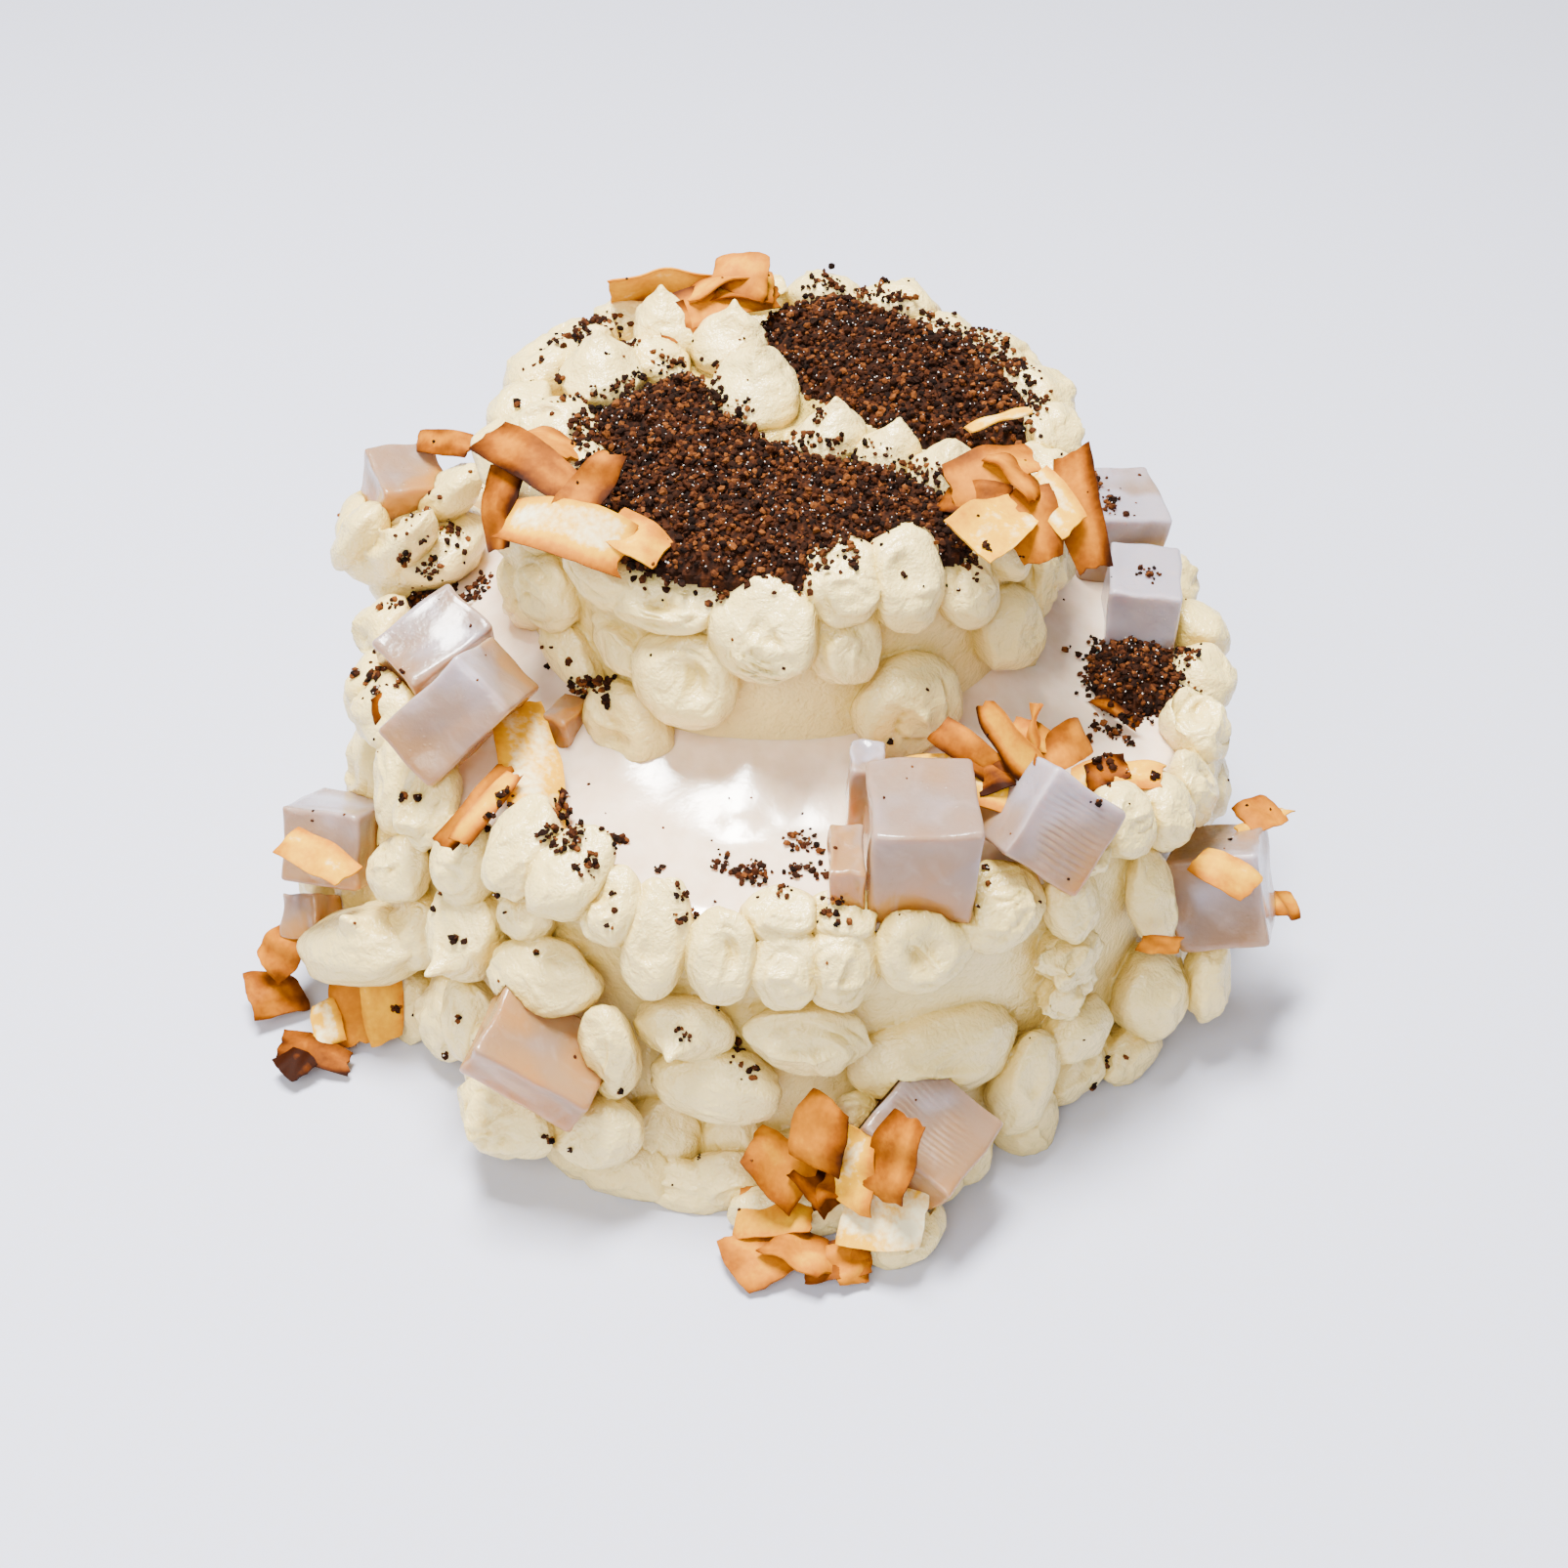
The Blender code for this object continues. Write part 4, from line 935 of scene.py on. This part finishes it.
def lilac_jelly(settings):
    """Milky jelly, cut from a set sheet: what scatters back is lilac and what passes is amber,
    both painted: lilac on the lit tops, amber as painted shade at the foot and near the cream.

    The surface is wet, with a few drops of syrup, and faint whitish veins run through it.
    """
    finish, tree = start_material("lilac_jelly", {
        "Roughness": 0.24, "IOR": 1.36, "Subsurface Weight": 0.85,
        "Subsurface Radius": (1.0, 0.7, 0.55), "Subsurface Scale": 3.2 * MM,
        "Coat Weight": 0.5, "Coat Roughness": 0.12, "Transmission Weight": 0.35,
    })
    # Painted light and shade: the whitish first stop is a painted sheen, the pale stops the lit
    # tops, and the amber stops painted shade at the foot and near the cream
    body = ramp(tree, stored(tree, "amber"), (
        (0.0, "#BDB4C0"), (0.25, settings.pale_hex), (0.5, settings.middle_hex),
        (0.8, settings.deep_hex), (1.0, settings.amber_hex)))
    vein = span_of(tree, swells(tree, 9, 2.0, 2.5), 0.52, 0.78, 0.22)
    milky = mix(tree, vein, body, linear("#D6C0B8"))
    where = add(tree, "ShaderNodeTexCoord").outputs["Object"]
    drops = add(tree, "ShaderNodeTexVoronoi", {"feature": "F1"},
                {"Vector": where, "Scale": 1 / (1.6 * MM)})
    bead = span_of(tree, drops.outputs["Distance"], 0.16, 0.0)
    plug(tree, milky, (0.6, 0.2, swells(tree, 0.9, 3.0)), (0.6, 0.12, bead))
    return finish


def fine_cube(cuts):
    """A cube of half width 1 with its own number of cuts along x, y and z."""
    bm = bmesh.new()
    bmesh.ops.create_cube(bm, size=2)
    for axis, count in enumerate(cuts):
        lines = [line for line in bm.edges
                 if abs((line.verts[0].co - line.verts[1].co)[axis]) > 1e-4]
        if count:
            bmesh.ops.subdivide_edges(bm, edges=lines, cuts=count, use_grid_fill=True)
    return bm


def flake(row, draw):
    """One curled flake of coconut, with how toasted each point is."""
    x1, y1, z1, x2, y2, z2, width, roll, bow, toast, rim = row
    first = Vector((x1, y1, z1))
    run = Vector((x2, y2, z2)) - first
    along = run.normalized()
    flat_side = Vector((0, 0, 1)).cross(along).normalized()
    across = Matrix.Rotation(math.radians(roll), 3, along) @ flat_side
    facing = along.cross(across)
    bm = fine_cube(FLAKE_CUTS)
    layer = bm.verts.layers.float.new("toast")
    shift = chance_vector(draw, 0, 90)
    twist = draw.uniform(-0.5, 0.5)
    ripple = draw.uniform(0.1, 0.45)
    burnt = draw.choice((-1, 1))
    taper = draw.uniform(-0.35, 0.35)
    cup = draw.uniform(-0.06, 0.05)
    skew = draw.uniform(-0.3, 0.3) * width / run.length / 2
    for vert in bm.verts:
        x, y, z = vert.co
        ragged = noise.noise(Vector((0, y * 2.2, 0)) + shift)
        share = (x + 1) / 2 * (1 + 0.10 * ragged) - 0.04 * ragged + skew * y
        middle = 4 * share * (1 - share)
        chip = 1 + 0.08 * noise.noise(Vector((share * 2, y, 0)) + shift)
        chip += 0.04 * noise.noise(Vector((share * 8, y, 3)) + shift)
        reach = width / 2 * (0.9 + 0.16 * middle + taper * (share - 0.5)) * chip
        turn = twist * (share - 0.5)
        leaf = across * math.cos(turn) + facing * math.sin(turn)
        curl = cup * width * y * y
        wave = ripple * math.sin(math.tau * (share * 1.6 + 0.2 * y) + shift.x)
        thick = FLAKE_THICK / 2 * z * (1 - 0.4 * abs(y) ** 3)
        lift = bow * (middle - 0.5) + curl + wave + thick
        vert.co = first + run * share + leaf * reach * y + facing * lift
        side = max(0, burnt * y) ** 2 + 0.3 * abs(y) ** 6 + 0.3 * abs(x) ** 8
        spot = 0.35 * noise.noise(Vector((share * 3, y * 1.5, 4)) + shift)
        vert[layer] = toast + 0.06 + rim * min(1, side) + spot * (0.3 + toast)
    return bm


def coconut_flakes():
    """All the flakes as one mesh."""
    bm = bmesh.new()
    for index, row in enumerate(FLAKES):
        one = flake(row, random.Random(SEED + index))
        mesh = bpy.data.meshes.new("flake")
        one.to_mesh(mesh)
        one.free()
        bm.from_mesh(mesh)
        bpy.data.meshes.remove(mesh)
    bmesh.ops.recalc_face_normals(bm, faces=bm.faces)
    piece = place_object("coconut_flakes", bm)
    piece.data.shade_smooth()
    piece.data.set_sharp_from_angle(angle=math.radians(60))
    return piece


def toasted_coconut(settings):
    """Coconut, shaved and toasted: dry and waxy, cream inside and scorched at the rim.

    The fibres run along the flesh and show as a fine streak.
    """
    finish, tree = start_material("toasted_coconut", {
        "Roughness": 0.58, "IOR": 1.47, "Subsurface Weight": 0.05,
        "Subsurface Radius": (1.0, 0.7, 0.4), "Subsurface Scale": 0.4 * MM,
        "Specular IOR Level": 0.05,
    })
    fibre = swells(tree, 0.9, 3.0)
    body = ramp(tree, jittered(tree, stored(tree, "toast"), fibre, 0.22), (
        (0.0, settings.flesh_hex), (0.14, "#E2A600"), (0.36, "#BA7000"), (0.62, "#804200"),
        (0.84, "#4E2200"), (1.0, "#240A00")))
    plug(tree, body, (0.4, 0.12, fibre))
    return finish


def signed_reach(point, outline):
    """Distance from a point to an outline, positive inside it."""
    inside = False
    nearest = 1e9
    for a, b in zip(outline, outline[1:] + outline[:1]):
        a, b = Vector(a), Vector(b)
        if (a.y > point.y) != (b.y > point.y):
            if point.x < (b.x - a.x) * (point.y - a.y) / (b.y - a.y) + a.x:
                inside = not inside
        run = b - a
        share = max(0, min(1, (point - a).dot(run) / run.length_squared))
        nearest = min(nearest, (point - a - run * share).length)
    return nearest if inside else -nearest


def bed_box(outline, margin):
    """Lowest x, highest x, lowest y and highest y of an outline, with a margin round it."""
    xs = [p[0] for p in outline]
    ys = [p[1] for p in outline]
    return min(xs) - margin, max(xs) + margin, min(ys) - margin, max(ys) + margin


def bed_reach(bed, spot):
    """How far inside a bed a spot lies, with the bed kept on its tier."""
    reach = signed_reach(spot, bed[1])
    from_upper = (spot - Vector(UPPER_CENTRE)).length
    if bed[3] > LOWER_TOP + 1:
        return min(reach, UPPER_RADIUS - 0.5 - from_upper)
    return min(reach, LOWER_RADIUS - 2 - spot.length)


def bed_core(bed, draw):
    """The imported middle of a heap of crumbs, from which the kisses stand out."""
    name, outline, thick, base = bed
    left, right, near, far = bed_box(outline, 2)
    size = (right - left, far - near)
    middle = Vector(((right + left) / 2, (far + near) / 2))
    bm = bmesh.new()
    tone = bm.verts.layers.float.new("tone")
    bmesh.ops.create_grid(bm, x_segments=round(size[0] / BED_SPACING),
                          y_segments=round(size[1] / BED_SPACING), size=0.5)
    inside = {}
    for vert in bm.verts:
        spot = Vector((vert.co.x * size[0], vert.co.y * size[1])) + middle
        reach = bed_reach(bed, spot)
        inside[vert] = reach
        rise = thick * (1 - math.exp(-max(0, reach) / BED_SLOPE)) if reach > 0 else -0.6
        bump = 0.6 * noise.noise(Vector((spot.x, spot.y, 0)) / 1.3)
        bump += 0.9 * noise.noise(Vector((spot.x, spot.y, 5)) / 4.5)
        vert.co = Vector((spot.x, spot.y, base + rise + bump * min(1, max(0, reach))))
        vert[tone] = draw.random() * 0.8
    gone = [face for face in bm.faces if all(inside[v] < 0 for v in face.verts)]
    bmesh.ops.delete(bm, geom=gone, context="FACES")
    skirt = bmesh.ops.extrude_face_region(bm, geom=bm.faces[:])["geom"]
    fresh = [g for g in skirt if isinstance(g, bmesh.types.BMVert)]
    bmesh.ops.translate(bm, vec=(0, 0, -1.5), verts=fresh)
    bmesh.ops.recalc_face_normals(bm, faces=bm.faces)
    return place_object("crumb_core_" + name, bm)


def grain_shapes(draw):
    """A few rough crumbs, as arrays of points and triangles."""
    shapes = []
    for _ in range(GRAIN_SHAPES):
        bm = bmesh.new()
        bmesh.ops.create_icosphere(bm, subdivisions=CRUMB_SIDES, radius=0.5)
        for vert in bm.verts:
            vert.co *= draw.uniform(0.68, 1.25)
        bm.verts.index_update()
        points = np.array([vert.co[:] for vert in bm.verts])
        faces = np.array([[vert.index for vert in face.verts] for face in bm.faces])
        bm.free()
        shapes.append((points, faces))
    return shapes


def scatter(name, spots, shapes, draw):
    """Join many small grains into one mesh; a spot is a point, a size and a tone."""
    points = []
    faces = []
    tones = []
    start = 0
    for spot, size, tone in spots:
        shape, sides = draw.choice(shapes)
        turn = Matrix.Rotation(draw.uniform(0, math.tau), 3, "Z")
        turn = turn @ Matrix.Rotation(draw.uniform(0, math.tau), 3, "X")
        stretch = np.array([size, size * draw.uniform(0.7, 1.1), size * draw.uniform(0.6, 1)])
        points.append((shape * stretch) @ np.array(turn).T + np.array(spot))
        faces.append(sides + start)
        tones += [tone] * len(shape)
        start += len(shape)
    mesh = bpy.data.meshes.new(name)
    mesh.from_pydata((np.concatenate(points) * MM).tolist(), [],
                     np.concatenate(faces).tolist())
    piece = link_object(name, mesh)
    store(piece, "tone", tones)
    return piece


def grain_size(draw):
    low, high = CRUMB_SIZE
    return low + (high - low) * draw.random() ** 1.6


def bed_grains(bed, under, draw):
    """Grains over one bed, thinning out past its edge and over the kisses in it."""
    _, outline, thick, base = bed
    left, right, near, far = bed_box(outline, 3)
    for _ in range(round((right - left) * (far - near) * CRUMB_DENSITY)):
        spot = Vector((draw.uniform(left, right), draw.uniform(near, far)))
        reach = bed_reach(bed, spot)
        chance = 1 if reach > 0.3 else 0.8 * math.exp((reach - 0.3) / 0.7)
        landed = drop(under, spot.x, spot.y)[0]
        height = landed.z if landed else 0
        if height > base + thick + 1:
            chance *= 0.08
        if draw.random() < chance:
            size = grain_size(draw)
            pile = 1.5 * max(0, noise.noise(Vector((spot.x, spot.y, 9)) / 2.2))
            yield (spot.x, spot.y, height + draw.uniform(-0.1, 0.5 + pile) * size), size, \
                draw.random()


def spot_grains(under, draw):
    """Small clusters where the photograph shows them, set on what the eye meets there."""
    for column, row, count, spread in CRUMB_SPOTS:
        landed, normal = under.ray_cast(*sight_line(column, row))[:2]
        if landed is not None:
            yield from cluster(landed, normal, count, spread, under, draw)


def cluster(middle, normal, count, spread, under, draw):
    """Crumbs strewn round a point of a surface, thickest in the middle."""
    side = normal.orthogonal().normalized()
    other = normal.cross(side)
    for _ in range(count):
        far = spread * math.sqrt(draw.random()) * (0.75 + 0.5 * draw.random())
        turn = draw.uniform(0, math.tau)
        spot = middle + (side * math.cos(turn) + other * math.sin(turn)) * far
        landed = under.ray_cast(spot + normal * 4, -normal, 9)[0]
        if landed is not None:
            size = grain_size(draw) * (0.85 if count < 5 else 1)
            pile = draw.random() ** 2 * min(1.2, count / 30) * (1 - far / spread / 1.3)
            yield tuple(landed + normal * (0.25 * size + pile * 1.2)), size, draw.random()


def stray_grains(under, draw):
    """Single grains all over, and clusters round the back where nothing is to be copied."""
    for _ in range(LOOSE_CRUMBS):
        turn = draw.uniform(0, math.tau)
        reach = LOOSE_REACH * math.sqrt(draw.random())
        landed = drop(under, reach * math.cos(turn), reach * math.sin(turn))[0]
        if landed is not None and landed.z > 1:
            yield tuple(landed), draw.uniform(0.35, 0.8), draw.random()
    for _ in range(BACK_CLUSTERS):
        turn = math.radians(draw.uniform(0, 180))
        landed, normal = drop(under, BACK_REACH * math.cos(turn), BACK_REACH * math.sin(turn))
        if landed is not None and landed.z > 40:
            yield from cluster(landed, normal, draw.randint(5, 34), draw.uniform(1, 2.6),
                               under, draw)


def cookie_crumb(settings):
    """Chocolate cookie, crushed: dry and rough, and each crumb a little lighter or darker."""
    finish, tree = start_material("cookie_crumb", {
        "Roughness": 0.9, "IOR": 1.45, "Specular IOR Level": 0.12})
    rough = swells(tree, 0.45, 3.0)
    body = ramp(tree, jittered(tree, stored(tree, "tone"), rough, 0.7), (
        (0.0, "#0C0402"), (0.4, settings.colour_hex), (0.75, "#3C1C0A"), (1.0, "#683A17")))
    plug(tree, body, (0.8, 0.18, rough))
    return finish


def sugar_crystal():
    """Sugar, as it falls from the cookies: clear grains that catch the light."""
    return start_material("sugar_crystal", {
        "Base Color": linear("#FFF8F2"), "Roughness": 0.12, "IOR": 1.54,
        "Transmission Weight": 0.35, "Specular IOR Level": 0.8})[0]


def plain_paper(settings):
    """Seamless paper, matt: a plain pale ground with the faintest tooth."""
    finish, tree = start_material("plain_paper", {
        "Roughness": 0.85, "Specular IOR Level": 0.2})
    plug(tree, mix(tree, swells(tree, 1.5, 2.0), settings.floor, linear("#C6C6D2")))
    return finish


def area_light(name, place, size, power, colour):
    """A soft box that looks at the middle of the cake."""
    data = bpy.data.lights.new(name, "AREA")
    data.shape = "RECTANGLE"
    data.size, data.size_y = size
    data.energy = power
    data.color = linear(colour)[:3]
    lamp = link_object(name, data)
    aim = Vector(LAMPS_AIM) - Vector(place)
    lamp.location = place
    lamp.rotation_euler = aim.to_track_quat("-Z", "Y").to_euler()


def set_world():
    """An even pale light from all round."""
    world = bpy.data.worlds.new("studio")
    world.use_nodes = True
    back = world.node_tree.nodes["Background"]
    back.inputs["Color"].default_value = linear(SKY_COLOUR)
    back.inputs["Strength"].default_value = SKY_STRENGTH
    bpy.context.scene.world = world


def set_camera():
    """The photograph's camera, as the scene's own."""
    data = bpy.data.cameras.new("photo_camera")
    data.sensor_width = SENSOR_WIDTH
    data.lens = PHOTO_FOCAL / PHOTO_SIZE * SENSOR_WIDTH
    data.clip_start = 0.01
    camera = link_object("photo_camera", data)
    matrix = camera_matrix()
    matrix.translation *= MM
    camera.matrix_world = matrix
    bpy.context.scene.camera = camera


class CakeSettings(bpy.types.PropertyGroup):
    """Sizes and colours that a user would change."""

    colour: bpy.props.FloatVectorProperty(
        name="Cream", description="Whipped cream where the light falls on it",
        subtype="COLOR", size=4, default=linear("#EFD996"))
    warm: bpy.props.FloatVectorProperty(
        name="Warm cream", description="The slightly yellower patches of the cream",
        subtype="COLOR", size=4, default=linear("#E8CE80"))
    # Painted shade: the deeper yellow that the cream takes where it lies hidden between kisses
    crease: bpy.props.FloatVectorProperty(
        name="Crease", description="Cream deep between two kisses",
        subtype="COLOR", size=4, default=linear("#D2B55C"))


class GlazeSettings(bpy.types.PropertyGroup):
    """The glaze on the ledge."""

    thick_hex: bpy.props.StringProperty(
        name="Thick glaze", description="sRGB colour of the glaze where it lies thick",
        default="#E6CDB2")
    thin_hex: bpy.props.StringProperty(
        name="Thin glaze", description="sRGB colour of the glaze where it lies thin",
        default="#EFD9C4")


class JellySettings(bpy.types.PropertyGroup):
    """The jelly cubes."""

    edge: bpy.props.FloatProperty(
        name="Edge", description="Radius of a cube's softened edges",
        default=0.7 * MM, unit="LENGTH")
    # The pale to amber colours paint light and shade: pale where light falls on the tops, amber
    # at the foot and near the cream where shade falls
    pale_hex: bpy.props.StringProperty(
        name="Pale", description="sRGB colour of the jelly that scatters light back",
        default="#A68C7C")
    middle_hex: bpy.props.StringProperty(
        name="Middle", description="sRGB colour of the jelly between its two looks",
        default="#AC8660")
    deep_hex: bpy.props.StringProperty(
        name="Deep", description="sRGB colour of the jelly that light passes through",
        default="#BC864A")
    amber_hex: bpy.props.StringProperty(
        name="Amber", description="sRGB colour of the jelly at its foot",
        default="#C28434")


class ToppingSettings(bpy.types.PropertyGroup):
    """Coconut and crumbs."""

    flesh_hex: bpy.props.StringProperty(
        name="Coconut flesh", description="sRGB colour of untoasted coconut",
        default="#F6EBBE")
    colour_hex: bpy.props.StringProperty(
        name="Crumb", description="sRGB colour of the middling crumbs",
        default="#210E05")


class StageSettings(bpy.types.PropertyGroup):
    """The studio round the cake."""

    floor: bpy.props.FloatVectorProperty(
        name="Floor", description="The plain ground", subtype="COLOR", size=4,
        default=linear("#C2C7DE"))
    key: bpy.props.FloatProperty(
        name="Key light", description="Power of the main soft box", default=28.0,
        unit="POWER")
    fill: bpy.props.FloatProperty(
        name="Fill light", description="Power of the soft box at the camera", default=10.2,
        unit="POWER")


class CAKE_OT_stage(bpy.types.Operator):
    """Set the ground, the soft boxes and the camera"""

    bl_idname = "cake.stage"
    bl_label = "Stage"

    def execute(self, context):
        settings = context.scene.cake_stage
        bm = bmesh.new()
        bmesh.ops.create_grid(bm, x_segments=8, y_segments=8, size=FLOOR_HALF)
        floor = place_object("studio_floor", bm)
        floor.data.materials.append(plain_paper(settings))
        for name, place, size, power, colour in LAMPS:
            area_light(name, place, size, getattr(settings, power), colour)
        set_world()
        set_camera()
        return {"FINISHED"}


class CAKE_OT_cream(bpy.types.Operator):
    """Ice both tiers and pipe their kisses"""

    bl_idname = "cake.cream"
    bl_label = "Cream"

    def execute(self, context):
        finish = whipped_cream(context.scene.cake_cream)
        draw = random.Random(SEED)
        lower = list(LOWER_KISSES)
        for row in LOWER_ROWS:
            lower += row_places(row, draw)
        upper = list(UPPER_KISSES)
        for row in UPPER_ROWS:
            upper += row_places(row, draw)
        below = cream_tier("lower_cream", LOWER_CENTRE, LOWER_OUTLINE, lower, 0)
        above = cream_tier("upper_cream", UPPER_CENTRE, UPPER_OUTLINE, upper, UPPER_BASE)
        cubes = cube_cutters(0)
        obstacles = tree_of(below, above, *cubes)
        for item in cubes:
            bpy.data.objects.remove(item)
        for piece, node in ((below, "lower_tier"), (above, "upper_tier")):
            shade_cream(piece, obstacles)
            dress(piece, finish, (node,))
        return {"FINISHED"}


class CAKE_OT_glaze(bpy.types.Operator):
    """Pour the glaze on the ledge"""

    bl_idname = "cake.glaze"
    bl_label = "Glaze"

    def execute(self, context):
        dress(glaze_ring(), milk_glaze(context.scene.cake_glaze))
        return {"FINISHED"}


class CAKE_OT_jelly(bpy.types.Operator):
    """Set the jelly cubes"""

    bl_idname = "cake.jelly"
    bl_label = "Jelly"

    def execute(self, context):
        settings = context.scene.cake_jelly
        finish = lilac_jelly(settings)
        objects = bpy.data.objects
        cream = tree_of(objects["lower_cream"], objects["upper_cream"])
        for place in JELLY_CUBES:
            piece = jelly_cube(place, settings, cream)
            dress(piece, finish, ("jelly_" + place[0],))
        return {"FINISHED"}


class CAKE_OT_coconut(bpy.types.Operator):
    """Strew the toasted coconut"""

    bl_idname = "cake.coconut"
    bl_label = "Coconut"

    def execute(self, context):
        finish = toasted_coconut(context.scene.cake_topping)
        dress(coconut_flakes(), finish)
        return {"FINISHED"}


class CAKE_OT_crumbs(bpy.types.Operator):
    """Heap and scatter the cookie crumbs"""

    bl_idname = "cake.crumbs"
    bl_label = "Crumbs"

    def execute(self, context):
        finish = cookie_crumb(context.scene.cake_topping)
        draw = random.Random(SEED)
        shapes = grain_shapes(draw)
        objects = bpy.data.objects
        lying = [item for item in objects if item.name.startswith("jelly_piece_")]
        lying += [objects[name] for name in ("lower_cream", "upper_cream", "ledge_glaze",
                                             "coconut_flakes")]
        cores = []
        for bed in CRUMB_BEDS:
            core = bed_core(bed, draw)
            dress(core, finish, ("crumbs_" + bed[0],))
            cores.append(core)
        heaps = tree_of(*cores, objects["lower_cream"], objects["upper_cream"],
                        objects["ledge_glaze"])
        spots = []
        for bed in CRUMB_BEDS:
            spots += bed_grains(bed, heaps, draw)
        for first in range(0, len(spots), MOST_GRAINS):
            part = spots[first:first + MOST_GRAINS]
            heap = scatter(f"heaped_crumbs_{first // MOST_GRAINS + 1}", part, shapes, draw)
            dress(heap, finish)
        ground = tree_of(*cores, *lying)
        loose = list(spot_grains(ground, draw)) + list(stray_grains(ground, draw))
        dress(scatter("scattered_crumbs", loose, shapes, draw), finish)
        crystals = [((x + draw.uniform(-0.5, 0.5), y + draw.uniform(-0.5, 0.5),
                      z + 0.45 * size), SUGAR_SIZE * draw.uniform(0.5, 1.2), 1)
                    for (x, y, z), size, _ in draw.choices(spots + loose, k=SUGAR_GRAINS)]
        dress(scatter("sugar_grains", crystals, shapes, draw), sugar_crystal())
        return {"FINISHED"}


class CAKE_PT_panel(bpy.types.Panel):
    """Buttons that make each part of the cake"""

    bl_label = "Cake"
    bl_idname = "CAKE_PT_panel"
    bl_space_type = "VIEW_3D"
    bl_region_type = "UI"
    bl_category = "Cake"

    def draw(self, context):
        for step in STEPS:
            self.layout.operator(step.bl_idname)
        for field in SETTINGS:
            group = getattr(context.scene, field)
            for name in group.__annotations__:
                self.layout.prop(group, name)


SETTINGS = {
    "cake_cream": CakeSettings,
    "cake_glaze": GlazeSettings,
    "cake_jelly": JellySettings,
    "cake_topping": ToppingSettings,
    "cake_stage": StageSettings,
}
STEPS = (CAKE_OT_stage, CAKE_OT_cream, CAKE_OT_glaze, CAKE_OT_jelly, CAKE_OT_coconut,
         CAKE_OT_crumbs)


def register():
    for item in (*SETTINGS.values(), *STEPS, CAKE_PT_panel):
        bpy.utils.register_class(item)
    for field, group in SETTINGS.items():
        setattr(bpy.types.Scene, field, bpy.props.PointerProperty(type=group))


def unregister():
    for field in SETTINGS:
        delattr(bpy.types.Scene, field)
    for item in (CAKE_PT_panel, *reversed(STEPS), *SETTINGS.values()):
        bpy.utils.unregister_class(item)


def main():
    register()
    bpy.ops.cake.stage()
    bpy.ops.cake.cream()
    bpy.ops.cake.glaze()
    bpy.ops.cake.jelly()
    bpy.ops.cake.coconut()
    bpy.ops.cake.crumbs()


if __name__ == "__main__":
    main()
